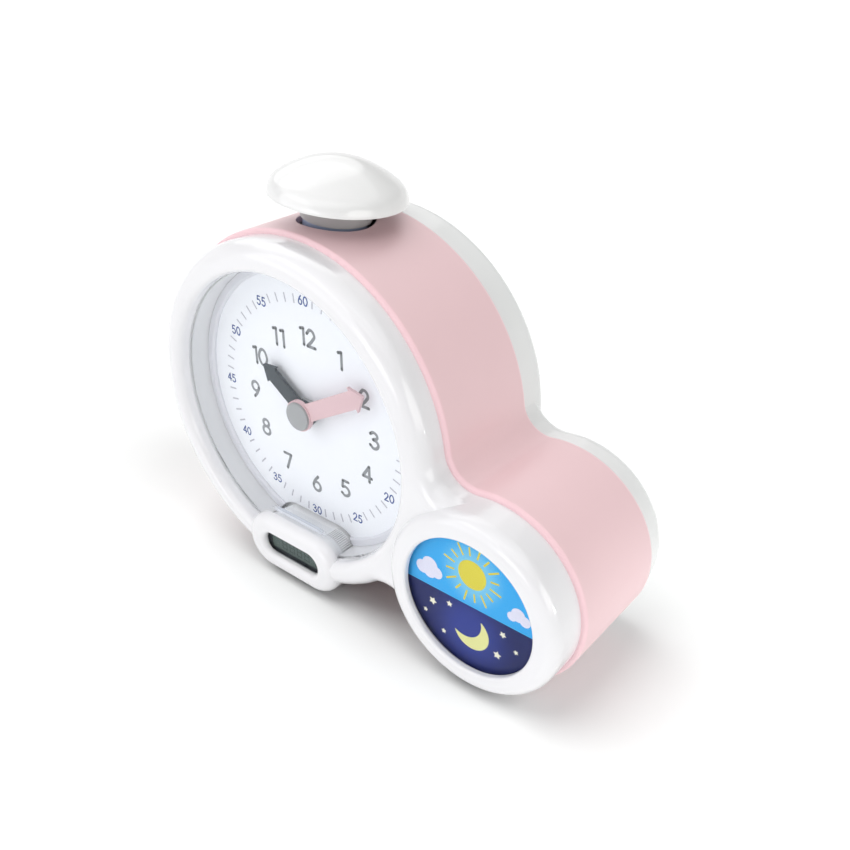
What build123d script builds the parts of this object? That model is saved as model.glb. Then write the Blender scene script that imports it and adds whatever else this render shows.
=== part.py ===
"""Child's alarm clock with a night light.

A big round lobe holds an analogue dial and a small round lobe beside it holds a lit
day-and-night picture.  A moulded front frame, a coloured band and a rear shell are
clamped together by long screws.  A mushroom button stands on top of the band.

Row frame, in millimetres: +X to the right as the dial is read, -Y out of the dial
towards the reader, +Z up.  The origin is under the middle of the clock, on the plane
that its rubber feet stand on.
"""
from math import atan2, cos, degrees, hypot, isclose, pi, radians, sin, sqrt, tan
import os

from build123d import *

os.makedirs("parts", exist_ok=True)

# ---------------------------------------------------------------- driving dimensions
# Outline of the two lobes, about the axis of the dial
BIG_R = 75.2              # front frame round the dial
SMALL_R = 38.6            # front frame round the picture
LOBE_X, LOBE_Y = 97.8, -39.5
VALLEY_R = 14.0           # concave round where the two lobes meet
BAND_PROUD = 2.0          # the band stands this far outside the frame
BAND_THICK = 2.6
WALL = 2.5
LIP_LONG = 5.0            # lips of the frame and the rear shell that enter the band

# Depths along the dial's axis: 0 is the dial's face, positive is towards the reader
SEAM_FRONT = 4.5          # front frame to band
SEAM_REAR = -45.0         # band to rear shell
REAR_FACE = -62.0         # flat back of the big lobe, which stands out as a drum
REAR_LOW = -59.0          # flat back of the small lobe and the neck
FRAME_CREST = 18.0
CREST_WALL = 3.5          # thickness of the frame at its crest
LOBE_CREST = 21.5

FRAME_ROUND = 8.0
LOBE_ROUND = 6.0
OPENING_R = 63.2
OPENING_ROUND = 3.4
OPENING_WALL = 2.4
LENS_BACK, LENS_FRONT = 10.4, 11.8
CAVITY_STEP = LENS_FRONT  # the wall round the dial's opening ends on the lens

# Dial and the tray that carries it
DIAL_THICK = 1.6
TRAY_R = 62.8             # inside of the grey wall round the dial
TRAY_WALL = 1.8
TRAY_RIM = 0.8            # thin rim of that wall, round the edge of the lens
TRAY_FLOOR = 2.0
DIAL_SEEN_R = 59.2
DIAL_RING_HIGH = 1.6
EAR_R = 5.2
BUSH_R = 4.0              # threaded bush of the movement

# Picture of day and night
PICTURE_R = 29.0
PICTURE_ROUND = 1.2
SEAT_R, SEAT_WALL = 30.9, 1.5
PICTURE_FRONT = 19.0
PICTURE_BACK = 16.9

BOX_R, BOX_WALL, BOX_BACK = 29.1, 1.5, -6.0
LED_R, LED_HIGH = 2.5, 6.0
LED_X, LED_Y = 12.0, 11.0
LIGHT_BOARD_R = 24.0

# Display pod under the dial
POD_Y = -64.5
POD_LONG, POD_HIGH = 54.0, 27.2
POD_CREST = 18.8
POD_ROUND = 5.0
POD_WALL = 3.0
POD_BACK = 13.4           # rear edge of the pod's ring where it crosses the recess
HUMP_LONG, HUMP_HIGH = 48.0, 22.5
SLOT_LONG, SLOT_HIGH = 33.0, 10.6
SLOT_ROUND = 2.4
PANEL_LONG, PANEL_HIGH = 35.0, 12.5
RIBS, RIB_PITCH = 12, 4.8                              # pitch in degrees
RIB_FROM, RIB_TO = 1.2, 7.2
RIB_HIGH, RIB_WIDE = 1.3, 0.5

# Mushroom button: it leans, because its plunger is loose in its guide
BUTTON_X, BUTTON_BACK, BUTTON_UP = 0.5, 21.8, 86.6     # middle of the cap's rim
LEAN_RIGHT, LEAN_BACK = 6.3, 2.8                       # degrees
CAP_R, CAP_HIGH = 27.7, 14.0
CAP_WALL, RIM_BELOW = 2.2, 1.6
SKIRT_R, SKIRT_WALL, SKIRT_LONG = 14.2, 0.8, 9.5
GUIDE_R, GUIDE_WALL = 13.0, 1.4
FLANGE_THICK, FLANGE_BORE_R = 1.2, 6.7
GUIDE_TOP, GUIDE_FLOOR = -4.6, -26.0
GUIDE_FLOOR_THICK = 2.0
ROD_R, ROD_TOP, ROD_END = 4.0, 6.8, -29.0
CAP_BOSS_R, CAP_BOSS_END = 6.5, 1.6
CLIP_R, CLIP_THICK = 6.0, 1.2
SPRING_R, SPRING_WIRE, SPRING_PITCH, SPRING_TURNS = 7.5, 0.6, 3.78, 6
SWITCH_SEAT = -38.0
CAGE_LONG, CAGE_WIDE, CAGE_WALL = 24.0, 16.0, 2.0
BUTTON_HOLE_R = 15.8
BUTTON_HOLE_BACK = 20.8

# Feet
FOOT_R = 6.0
FOOT_POCKET = 1.0
FOOT_DEPTHS = (-6.0, -36.0)
STAND_HEIGHT = 81.2       # dial's axis above the table

# Screw posts: a boss on the front frame meets a long pillar of the rear shell
POST_R = 69.0
NECK = atan2(LOBE_Y, LOBE_X)
POSTS = [(POST_R * cos(radians(a)), POST_R * sin(radians(a))) for a in (45, 140, 230)]
POSTS += [(r * cos(NECK), r * sin(NECK)) for r in (69.3, hypot(LOBE_X, LOBE_Y) + 33.4)]
BOSS_R, SPIGOT_R, PILLAR_R = 4.2, 2.8, 3.9
BOSS_END, SPIGOT_END = -1.6, -8.0
SCREW_SEAT = -10.5
SCREW_R, SCREW_LONG = 1.5, 12.0
SCREW_HEAD_R, SCREW_HEAD_HIGH = 2.8, 2.2

# Motion work: both gear pairs have the same centre distance
MODULE = 0.5
CANNON_TEETH, MINUTE_WHEEL_TEETH = 10, 30
MINUTE_PINION_TEETH, HOUR_WHEEL_TEETH = 8, 32
TRAIN_MODULE = 0.4
DRIVE_PINION_TEETH, DRIVE_WHEEL_TEETH = 12, 40

# Back of the case
DRUM_R = BIG_R + 0.4      # back of the big lobe
REAR_ROUND = 5.0
LOW_ROUND = 6.0
BACK_INSIDE = REAR_FACE + WALL
LOW_INSIDE = REAR_LOW + WALL

# Battery door, its bay and the cells
DOOR_LONG, DOOR_HIGH = 62.0, 55.0
DOOR_Y = -30.7
DOOR_THICK = 2.0
DOOR_PIN_R, DOOR_PIN_DEPTH = 0.8, -60.9
DOOR_PIN_LONG = 1.6
DOOR_END_R = 1.0
DOOR_GAP = 0.3
DOOR_SINK = DOOR_THICK + 0.2
DOOR_SEAT, DOOR_SEAT_WIDE = 1.4, 2.0
DOOR_SCREW_R, DOOR_SCREW_LONG, DOOR_BOSS_R = 1.25, 4.2, 3.0
BAY_LONG, BAY_HIGH = 60.0, 47.5
BAY_Y = -33.9
BAY_FLOOR = -42.5
BAY_WALL, BAY_ROUND = 1.6, 1.0
CELL_R, CELL_LONG = 7.1, 49.2
BUTTON_END_R, BUTTON_END_LONG = 2.7, 1.3
PLATE_THICK, PLATE_SIDE = 0.4, 11.0
CELL_PITCH = 15.6
CELL_DEPTH = -49.8
DOOR_SCREW_Y = -6.6

# Setting knob, keys, slider, speaker and power inlet
KNOB_R, KNOB_THICK = 8.6, 4.2
KNOB_GRIPS, GRIP_R = 20, 1.0
KNOB_WELL_R, KNOB_WELL, KNOB_WELL_WALL = 10.4, 4.6, 1.8
STEM_R, STEM_END = 1.3, -60.2
STEM_HOLE_R = 2.2
KEY_Y = 36.0
KEY_XS = (-30.0, -15.0, 0.0, 15.0)
KEY_NAMES = ("key_alarm", "key_hour", "key_minute", "key_light")
KEY_R, KEY_GAP = 4.2, 0.3
KEY_LONG, KEY_ROUND = 3.6, 0.8
KEY_FLANGE, KEY_STEM_R = 1.0, 2.0
SLIDER_X = 34.0
SLIDER_LONG, SLIDER_HIGH, SLIDER_GAP = 5.0, 4.0, 0.3
SLIDER_TRAVEL = 3.0       # each way from the middle
SLIDER_PLATE_LONG, SLIDER_PLATE_HIGH = 19.0, 7.0
PANEL_SINK = 1.2          # keys and slider stand in a shallow panel
PANEL_END = 12.0          # the panel runs on past the outermost key and the slider
KEY_PANEL_HIGH = 15.0
SPEAKER_X, SPEAKER_Y, SPEAKER_R = -47.0, 6.0, 14.0
SPEAKER_RING, SPEAKER_RING_HIGH = 1.5, 3.0
GRILLE_R, GRILLE_SLOT, GRILLE_PITCH = 12.2, 1.5, 3.4
JACK_X, JACK_Y = 48.0, 2.0
JACK_HOLE_R, JACK_BORE_R, JACK_PIN_R = 4.0, 2.9, 1.0
JACK_BLOCK_WIDE, JACK_BLOCK_HIGH, JACK_BLOCK_LONG = 10.0, 11.0, 13.0

# Main board
BOARD_REAR = -51.8
BOARD_THICK = 1.6
BOARD_POST_XS, BOARD_POST_UP, BOARD_POST_R = (-37.5, 41.0), 8.0, 1.8
BOARD_HIGH = 22.0
SWITCH_SIDE, SWITCH_HIGH = 6.0, 3.4
SWITCH_TIP_R = 1.7

MOTION_DISTANCE = MODULE * (CANNON_TEETH + MINUTE_WHEEL_TEETH) / 2
DRIVE_DISTANCE = TRAIN_MODULE * (DRIVE_PINION_TEETH + DRIVE_WHEEL_TEETH) / 2
RUN = 0.05                # radial clearance of a running fit
SEATED = 0.1              # clearance all round a piece in its seat
SPIGOT_GAP = 0.15

# Pieces on the dial's axis
COVER_BACK, CASE_BACK = -5.2, -19.6
PIVOT_R, FINE_PIVOT_R, STAFF_R, MAGNET_R = 0.8, 0.5, 0.9, 3.0
BUSH_FRONT = 1.9
HOUR_HAND, MINUTE_HAND, HAND_THICK = 2.7, 5.0, 1.4
HUB_CAP_BACK, HUB_CAP_FRONT = 6.9, 8.0
HUB_R, HUB_CAP_R = 6.8, 6.2
ARBOR_R, HOUR_TUBE_R = 1.5, 2.6

# Hands, as the clock reads ten past ten
HOUR_ANGLE, MINUTE_ANGLE = -55.0, 60.0                 # clockwise from twelve

# Row frame: the dial's axis, from the origin
DIAL_X = -(LOBE_X + SMALL_R - BIG_R) / 2
DIAL_Y = (LOBE_CREST + REAR_FACE) / 2
DIAL_Z = STAND_HEIGHT

dial = Plane(origin=(DIAL_X, DIAL_Y, DIAL_Z), x_dir=(1, 0, 0), z_dir=(0, -1, 0))


def at(depth):
    """Sketch plane square to the dial's axis, a distance in front of the dial's face."""
    return dial.offset(depth)


def save(piece, name):
    """Label a finished piece and write its STEP file."""
    piece.part.label = name
    export_step(piece.part, f"parts/{name}.step")
    print(f"{name:24s} {len(piece.part.solids()):3d} solids {piece.part.volume / 1000:8.2f} cm3")


def two_lobes(grow):
    """Outline of the case, grown or shrunk by an even offset."""
    def in_valley(corner):
        on_big = isclose(hypot(corner.X, corner.Y), BIG_R + grow, abs_tol=1e-3)
        on_small = isclose(hypot(corner.X - LOBE_X, corner.Y - LOBE_Y), SMALL_R + grow, abs_tol=1e-3)
        return on_big and on_small

    with BuildSketch() as outline:
        Circle(BIG_R + grow)
        with Locations((LOBE_X, LOBE_Y)):
            Circle(SMALL_R + grow)
        fillet(outline.vertices().filter_by(in_valley), radius=VALLEY_R - grow)
    return outline.sketch


def pod_slot(long, high):
    """Upright stadium of the display pod."""
    with BuildSketch() as slot:
        with Locations((0, POD_Y)):
            SlotOverall(long, high)
    return slot.sketch


def rim(piece, depth):
    """Edges of a piece that lie wholly in one plane square to the dial's axis."""
    y = DIAL_Y - depth
    return piece.edges().filter_by_position(Axis.Y, y - 0.01, y + 0.01)


def circle_edge(piece, depth, radius):
    """The edge in one plane square to the dial's axis that comes nearest to a radius."""
    circles = rim(piece, depth).filter_by(GeomType.CIRCLE)
    return circles.sort_by(lambda edge: abs(edge.radius - radius))[0]


frame_outline = two_lobes(0)
cavity_outline = two_lobes(-WALL)
lip_outer, lip_inner = two_lobes(BAND_PROUD - BAND_THICK - 0.2), two_lobes(-WALL)
front_cavity = two_lobes(-WALL - 1.5)
shell_cavity = two_lobes(-WALL - 1)
pod_outline = pod_slot(POD_LONG, POD_HIGH)
hump_outline = pod_slot(HUMP_LONG, HUMP_HIGH)
hump_clear = pod_slot(HUMP_LONG + 0.6, HUMP_HIGH + 0.6)
pod_cavity = pod_slot(HUMP_LONG + 1.0, HUMP_HIGH + 1.0)

# ================================================================== case
# ---------------------------------------------------------------- front frame
with BuildPart() as lobe_ring:
    with BuildSketch(at(SEAM_FRONT)):
        with Locations((LOBE_X, LOBE_Y)):
            Circle(SMALL_R)
    extrude(amount=LOBE_CREST - SEAM_FRONT)
    fillet(rim(lobe_ring, LOBE_CREST), radius=LOBE_ROUND)

with BuildPart() as pod_ring:
    with BuildSketch(at(SEAM_FRONT)):
        add(pod_outline)
    extrude(amount=POD_CREST - SEAM_FRONT)
    with BuildSketch(at(SEAM_FRONT)):
        Circle(OPENING_R)
    extrude(amount=POD_BACK - SEAM_FRONT, mode=Mode.SUBTRACT)
    fillet(rim(pod_ring, POD_CREST), radius=POD_ROUND)

with BuildPart() as front_frame:
    with BuildSketch(at(SEAM_FRONT)):
        add(frame_outline)
    extrude(amount=FRAME_CREST - SEAM_FRONT)
    fillet(rim(front_frame, FRAME_CREST), radius=FRAME_ROUND)
    # opening over the dial, rounded at the crest
    with BuildSketch(at(SEAM_FRONT)):
        Circle(OPENING_R)
    extrude(amount=FRAME_CREST - SEAM_FRONT, mode=Mode.SUBTRACT)
    fillet(circle_edge(front_frame, FRAME_CREST, OPENING_R), radius=OPENING_ROUND)
    add(lobe_ring.part)
    add(pod_ring.part)
    # hollow behind the crest, with a wall left round each opening
    with BuildSketch(at(SEAM_FRONT)):
        add(cavity_outline)
    extrude(amount=CAVITY_STEP - SEAM_FRONT, mode=Mode.SUBTRACT)
    with BuildSketch(at(CAVITY_STEP)):
        add(front_cavity)
        Circle(OPENING_R + OPENING_WALL, mode=Mode.SUBTRACT)
        with Locations((LOBE_X, LOBE_Y)):
            Circle(SMALL_R - WALL, mode=Mode.SUBTRACT)
    extrude(amount=FRAME_CREST - CREST_WALL - CAVITY_STEP, mode=Mode.SUBTRACT)
    with BuildSketch(at(CAVITY_STEP)):
        with Locations((LOBE_X, LOBE_Y)):
            Circle(SMALL_R - WALL)
            Circle(SEAT_R + SEAT_WALL, mode=Mode.SUBTRACT)
    extrude(amount=2.0, mode=Mode.SUBTRACT)
    # window of the picture: a lip in front of the seat of its cover
    with BuildSketch(at(SEAM_FRONT)):
        with Locations((LOBE_X, LOBE_Y)):
            Circle(SEAT_R)
    extrude(amount=PICTURE_FRONT - SEAM_FRONT, mode=Mode.SUBTRACT)
    with BuildSketch(at(SEAM_FRONT)):
        with Locations((LOBE_X, LOBE_Y)):
            Circle(PICTURE_R)
    extrude(amount=LOBE_CREST - SEAM_FRONT, mode=Mode.SUBTRACT)
    fillet(circle_edge(front_frame, LOBE_CREST, PICTURE_R), radius=PICTURE_ROUND)
    # display pod: room for its housing behind, and the slot in front
    with BuildSketch(at(SEAM_FRONT)):
        add(pod_cavity)
    extrude(amount=POD_CREST - POD_WALL - SEAM_FRONT, mode=Mode.SUBTRACT)
    with BuildSketch(at(POD_BACK)):
        with Locations((0, POD_Y)):
            SlotOverall(SLOT_LONG, SLOT_HIGH)
    extrude(amount=POD_CREST - POD_BACK, mode=Mode.SUBTRACT)
    fillet(rim(front_frame, POD_CREST).sort_by(SortBy.LENGTH)[:4], radius=SLOT_ROUND)
    # lip that enters the band
    with BuildSketch(at(SEAM_FRONT)):
        add(lip_outer)
        add(lip_inner, mode=Mode.SUBTRACT)
    extrude(amount=-LIP_LONG)
    # screw bosses, each with a shoulder for the tray and a spigot for its pillar
    with BuildSketch(at(BOSS_END)):
        with Locations(*POSTS):
            Circle(BOSS_R)
    extrude(amount=CAVITY_STEP + 2 - BOSS_END)
    with BuildSketch(at(SPIGOT_END)):
        with Locations(*POSTS):
            Circle(SPIGOT_R)
    extrude(amount=BOSS_END - SPIGOT_END)
    with BuildSketch(at(SPIGOT_END)):
        with Locations(*POSTS):
            Circle(SCREW_R + RUN)
    extrude(amount=SCREW_LONG, mode=Mode.SUBTRACT)
save(front_frame, "front_frame")

# ---------------------------------------------------------------- coloured band
band_outer, band_inner = two_lobes(BAND_PROUD), two_lobes(BAND_PROUD - BAND_THICK)
FOOT_SPOTS = [
    (x, y - radius - BAND_PROUD, depth)
    for x, y, radius in ((0, 0, BIG_R), (LOBE_X, LOBE_Y, SMALL_R))
    for depth in FOOT_DEPTHS
]

with BuildPart() as side_band:
    with BuildSketch(at(SEAM_REAR)):
        add(band_outer)
    extrude(amount=SEAM_FRONT - SEAM_REAR)
    fillet(rim(side_band, SEAM_FRONT), radius=BAND_PROUD - 0.3)
    fillet(rim(side_band, SEAM_REAR), radius=BAND_PROUD / 2)
    with BuildSketch(at(SEAM_REAR)):
        add(band_inner)
    extrude(amount=SEAM_FRONT - SEAM_REAR, mode=Mode.SUBTRACT)
    # round hole under the mushroom button
    with BuildSketch(Plane.XY.offset(DIAL_Z)):
        with Locations((DIAL_X, DIAL_Y + BUTTON_HOLE_BACK)):
            Circle(BUTTON_HOLE_R)
    extrude(amount=BIG_R + 10, mode=Mode.SUBTRACT)
    # flat-bottomed pockets that seat the feet
    for x, y, depth in FOOT_SPOTS:
        with BuildSketch(Plane.XY):
            with Locations((DIAL_X + x, DIAL_Y - depth)):
                Circle(FOOT_R + SEATED)
        extrude(amount=DIAL_Z + y + FOOT_POCKET, mode=Mode.SUBTRACT)
save(side_band, "side_band")

# ---------------------------------------------------------------- rubber feet
with BuildPart() as rubber_feet:
    for x, y, depth in FOOT_SPOTS:
        with BuildSketch(Plane.XY):
            with Locations((DIAL_X + x, DIAL_Y - depth)):
                Circle(FOOT_R)
        extrude(amount=DIAL_Z + y + FOOT_POCKET)
    chamfer(rubber_feet.edges().group_by(Axis.Z)[0], length=0.6)
save(rubber_feet, "rubber_feet")

# ---------------------------------------------------------------- rear shell
# hinge pins of the battery door, on a plane square to X
DOOR_PIN_YZ = (DIAL_Y - DOOR_PIN_DEPTH, DIAL_Z + DOOR_Y - DOOR_HIGH / 2 + DOOR_END_R)

with BuildPart() as rear_drum:
    with BuildSketch(at(REAR_FACE)):
        Circle(DRUM_R)
    extrude(amount=SEAM_REAR - REAR_FACE)
    fillet(rim(rear_drum, REAR_FACE), radius=REAR_ROUND)

with BuildPart() as rear_shell:
    with BuildSketch(at(REAR_LOW)):
        add(frame_outline)
    extrude(amount=SEAM_REAR - REAR_LOW)
    fillet(rim(rear_shell, REAR_LOW), radius=LOW_ROUND)
    add(rear_drum.part)
    with BuildSketch(at(LOW_INSIDE)):
        add(shell_cavity)
    extrude(amount=SEAM_REAR - LOW_INSIDE, mode=Mode.SUBTRACT)
    with BuildSketch(at(BACK_INSIDE)):
        Circle(DRUM_R - WALL - 1)
    extrude(amount=LOW_INSIDE - BACK_INSIDE, mode=Mode.SUBTRACT)
    # lip that enters the band
    with BuildSketch(at(SEAM_REAR - 4)):
        add(lip_outer)
        add(shell_cavity, mode=Mode.SUBTRACT)
    extrude(amount=4 + LIP_LONG)
    # seat of the battery door, and the bay, a tub that opens through the back
    with BuildSketch(at(BACK_INSIDE)):
        with Locations((0, DOOR_Y)):
            Rectangle(DOOR_LONG + 2 * DOOR_SEAT_WIDE, DOOR_HIGH + 2 * DOOR_SEAT_WIDE)
    extrude(amount=DOOR_SEAT)
    with BuildSketch(at(BACK_INSIDE)):
        with Locations((0, BAY_Y)):
            RectangleRounded(BAY_LONG + 2 * BAY_WALL, BAY_HIGH + 2 * BAY_WALL, 2 * BAY_ROUND)
    extrude(amount=BAY_FLOOR + BAY_WALL - BACK_INSIDE)
    with BuildSketch(at(REAR_FACE)):
        with Locations((0, BAY_Y)):
            RectangleRounded(BAY_LONG, BAY_HIGH, BAY_ROUND)
    extrude(amount=BAY_FLOOR - REAR_FACE, mode=Mode.SUBTRACT)
    with BuildSketch(at(REAR_FACE)):
        with Locations((0, DOOR_Y)):
            Rectangle(DOOR_LONG + 2 * DOOR_GAP, DOOR_HIGH + 2 * DOOR_GAP)
    extrude(amount=DOOR_SINK, mode=Mode.SUBTRACT)
    # well of the setting knob
    with BuildSketch(at(BACK_INSIDE)):
        with Locations((0, MOTION_DISTANCE)):
            Circle(KNOB_WELL_R + KNOB_WELL_WALL)
    extrude(amount=KNOB_WELL - WALL + KNOB_WELL_WALL)
    with BuildSketch(at(REAR_FACE)):
        with Locations((0, MOTION_DISTANCE)):
            Circle(KNOB_WELL_R)
    extrude(amount=KNOB_WELL, mode=Mode.SUBTRACT)
    with BuildSketch(at(REAR_FACE)):
        with Locations((0, MOTION_DISTANCE)):
            Circle(STEM_HOLE_R)
    extrude(amount=KNOB_WELL + 2 * KNOB_WELL_WALL, mode=Mode.SUBTRACT)
    # panel of the keys and the slider
    with BuildSketch(at(REAR_FACE)):
        with Locations(((KEY_XS[0] + SLIDER_X) / 2, KEY_Y)):
            SlotOverall(SLIDER_X - KEY_XS[0] + 2 * PANEL_END, KEY_PANEL_HIGH)
    extrude(amount=PANEL_SINK, mode=Mode.SUBTRACT)
    with BuildSketch(at(REAR_FACE)):
        with Locations(*[(x, KEY_Y) for x in KEY_XS]):
            Circle(KEY_R + KEY_GAP)
        with Locations((SLIDER_X, KEY_Y)):
            RectangleRounded(
                2 * (SLIDER_TRAVEL + SLIDER_GAP) + SLIDER_LONG, SLIDER_HIGH + 2 * SLIDER_GAP, SLIDER_GAP / 2
            )
        with Locations((JACK_X, JACK_Y)):
            Circle(JACK_HOLE_R)
    extrude(amount=WALL, mode=Mode.SUBTRACT)
    # speaker grille: rows of slots cut to a circle, and a ring that holds the speaker
    with BuildSketch(at(REAR_FACE)):
        for row in range(-3, 4):
            up = GRILLE_PITCH * row
            with Locations((SPEAKER_X, SPEAKER_Y + up)):
                SlotOverall(2 * sqrt(GRILLE_R**2 - up**2), GRILLE_SLOT)
    extrude(amount=WALL, mode=Mode.SUBTRACT)
    with BuildSketch(at(BACK_INSIDE)):
        with Locations((SPEAKER_X, SPEAKER_Y)):
            Circle(SPEAKER_R + 2 * SEATED + SPEAKER_RING)
            Circle(SPEAKER_R + 2 * SEATED, mode=Mode.SUBTRACT)
    extrude(amount=SPEAKER_RING_HIGH)
    # pillars for the long screws, open at the back, and posts under the main board
    for back, spots in ((BACK_INSIDE, POSTS[:4]), (LOW_INSIDE, POSTS[4:])):
        with BuildSketch(at(back)):
            with Locations(*spots):
                Circle(PILLAR_R)
        extrude(amount=BOSS_END - TRAY_FLOOR - 0.1 - back)
    with BuildSketch(at(REAR_FACE)):
        with Locations(*POSTS):
            Circle(SCREW_HEAD_R + 2 * SEATED)
    extrude(amount=SCREW_SEAT - REAR_FACE, mode=Mode.SUBTRACT)
    with BuildSketch(at(SCREW_SEAT)):
        with Locations(*POSTS):
            Circle(SCREW_R + 2 * SEATED)
    extrude(amount=SPIGOT_END - SCREW_SEAT, mode=Mode.SUBTRACT)
    with BuildSketch(at(SPIGOT_END - 2 * SPIGOT_GAP)):
        with Locations(*POSTS):
            Circle(SPIGOT_R + SPIGOT_GAP)
    extrude(amount=BOSS_END - SPIGOT_END, mode=Mode.SUBTRACT)
    with BuildSketch(at(BACK_INSIDE)):
        with Locations(*[(x, KEY_Y + up) for x in BOARD_POST_XS for up in (-BOARD_POST_UP, BOARD_POST_UP)]):
            Circle(BOARD_POST_R)
    extrude(amount=BOARD_REAR - BACK_INSIDE)
    # sockets of the battery door's hinge pins, and the boss for its screw
    socket = DOOR_LONG / 2 + DOOR_PIN_LONG + 2 * DOOR_GAP
    with BuildSketch(Plane.YZ.offset(DIAL_X - socket)):
        with Locations(DOOR_PIN_YZ):
            Circle(DOOR_PIN_R + RUN)
    extrude(amount=2 * socket, mode=Mode.SUBTRACT)
    with BuildSketch(at(REAR_FACE + DOOR_SINK)):
        with Locations((0, DOOR_SCREW_Y)):
            Circle(DOOR_BOSS_R)
    extrude(amount=DOOR_SCREW_LONG + 0.8)
    with BuildSketch(at(REAR_FACE)):
        with Locations((0, DOOR_SCREW_Y)):
            Circle(SCREW_R)
    extrude(amount=DOOR_SINK + DOOR_SCREW_LONG + 0.8, mode=Mode.SUBTRACT)
save(rear_shell, "rear_shell")

# ---------------------------------------------------------------- battery door
with BuildPart() as battery_door:
    with BuildSketch(at(REAR_FACE)):
        with Locations((0, DOOR_Y)):
            Rectangle(DOOR_LONG, DOOR_HIGH)
    extrude(amount=DOOR_THICK)
    fillet(battery_door.edges().filter_by(Axis.X).group_by(Axis.Z)[0], radius=DOOR_END_R - 0.01)
    fillet(battery_door.edges().filter_by(Axis.Y).group_by(Axis.Z)[-1], radius=2)
    with BuildSketch(Plane.YZ.offset(DIAL_X - DOOR_LONG / 2 - DOOR_PIN_LONG)):
        with Locations(DOOR_PIN_YZ):
            Circle(DOOR_PIN_R)
    extrude(amount=DOOR_LONG + 2 * DOOR_PIN_LONG)
    # finger ridges, and the seat of the screw
    with BuildSketch(at(REAR_FACE)):
        with GridLocations(0, 3.2, 1, 3):
            with Locations((0, DOOR_Y)):
                SlotOverall(20, 1.4)
    extrude(amount=0.6, mode=Mode.SUBTRACT)
    with BuildSketch(at(REAR_FACE)):
        with Locations((0, DOOR_SCREW_Y)):
            Circle(SCREW_HEAD_R + SEATED)
    extrude(amount=DOOR_THICK / 2 + SEATED, mode=Mode.SUBTRACT)
    with BuildSketch(at(REAR_FACE)):
        with Locations((0, DOOR_SCREW_Y)):
            Circle(SCREW_R)
    extrude(amount=DOOR_THICK, mode=Mode.SUBTRACT)
save(battery_door, "battery_door")

# ---------------------------------------------------------------- screws
with BuildPart() as housing_screws:
    with BuildSketch(at(SCREW_SEAT)):
        with Locations(*POSTS):
            Circle(SCREW_HEAD_R)
    extrude(amount=-SCREW_HEAD_HIGH)
    with BuildSketch(at(SCREW_SEAT)):
        with Locations(*POSTS):
            Circle(SCREW_R)
    extrude(amount=SCREW_LONG)
save(housing_screws, "housing_screws")

with BuildPart() as door_screw:
    with BuildSketch(at(REAR_FACE + RUN)):
        with Locations((0, DOOR_SCREW_Y)):
            Circle(SCREW_HEAD_R)
    extrude(amount=DOOR_THICK / 2 + SEATED - RUN)
    with BuildSketch(at(REAR_FACE + DOOR_THICK / 2 + SEATED)):
        with Locations((0, DOOR_SCREW_Y)):
            Circle(DOOR_SCREW_R)
    extrude(amount=DOOR_SCREW_LONG)
save(door_screw, "door_screw")

# ================================================================== dial
# ---------------------------------------------------------------- tray behind the dial
TRAY_OUT_R = TRAY_R + TRAY_WALL
TRAY_BACK = -DIAL_THICK - TRAY_FLOOR
INSIDE_R = BIG_R - WALL - 0.3  # pieces inside the band end here
with BuildPart() as dial_tray:
    with BuildSketch(at(-DIAL_THICK)):
        Circle(TRAY_OUT_R)
        Circle(TRAY_R, mode=Mode.SUBTRACT)
        add(hump_clear, mode=Mode.SUBTRACT)
    extrude(amount=LENS_BACK + DIAL_THICK)
    # thin rim round the edge of the lens
    with BuildSketch(at(LENS_BACK)):
        Circle(TRAY_OUT_R)
        Circle(TRAY_OUT_R - TRAY_RIM, mode=Mode.SUBTRACT)
        add(pod_slot(POD_LONG + 0.6, POD_HIGH + 0.6), mode=Mode.SUBTRACT)
    extrude(amount=LENS_FRONT - LENS_BACK)
    with BuildSketch(at(TRAY_BACK)):
        Circle(TRAY_OUT_R)
        add(pod_slot(HUMP_LONG + 2, HUMP_HIGH + 2))
        for x, y in POSTS[:4]:
            with Locations(Location((0.93 * x, 0.93 * y), degrees(atan2(y, x)))):
                Rectangle(10, 2 * EAR_R)
            with Locations((x, y)):
                Circle(EAR_R)
        with Locations(*POSTS[:4]):
            Circle(SPIGOT_R + SPIGOT_GAP, mode=Mode.SUBTRACT)
        Circle(BUSH_R + 0.3, mode=Mode.SUBTRACT)
        with Locations((0, POD_Y)):
            Rectangle(22, 8, mode=Mode.SUBTRACT)
    extrude(amount=TRAY_FLOOR)
    with BuildSketch(at(TRAY_BACK)):
        Circle(BIG_R + 10)
        Circle(INSIDE_R, mode=Mode.SUBTRACT)
    extrude(amount=TRAY_FLOOR, mode=Mode.SUBTRACT)
save(dial_tray, "dial_tray")

with BuildPart() as dial_plate:
    with BuildSketch(at(-DIAL_THICK)):
        Circle(TRAY_R - 0.2)
        add(hump_clear, mode=Mode.SUBTRACT)
        Circle(BUSH_R + 0.3, mode=Mode.SUBTRACT)
    extrude(amount=DIAL_THICK)
save(dial_plate, "dial_plate")

with BuildPart() as dial_ring:
    with BuildSketch(at(0)):
        Circle(TRAY_R - 0.1)
        Circle(DIAL_SEEN_R, mode=Mode.SUBTRACT)
        add(hump_clear, mode=Mode.SUBTRACT)
    extrude(amount=DIAL_RING_HIGH)
    chamfer(circle_edge(dial_ring, DIAL_RING_HIGH, DIAL_SEEN_R), length=0.8)
save(dial_ring, "dial_ring")

with BuildPart() as dial_lens:
    with BuildSketch(at(LENS_BACK)):
        Circle(TRAY_OUT_R - TRAY_RIM - 0.1)
        add(pod_slot(POD_LONG + 0.6, POD_HIGH + 0.6), mode=Mode.SUBTRACT)
    extrude(amount=LENS_FRONT - LENS_BACK)
save(dial_lens, "dial_lens")

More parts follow.
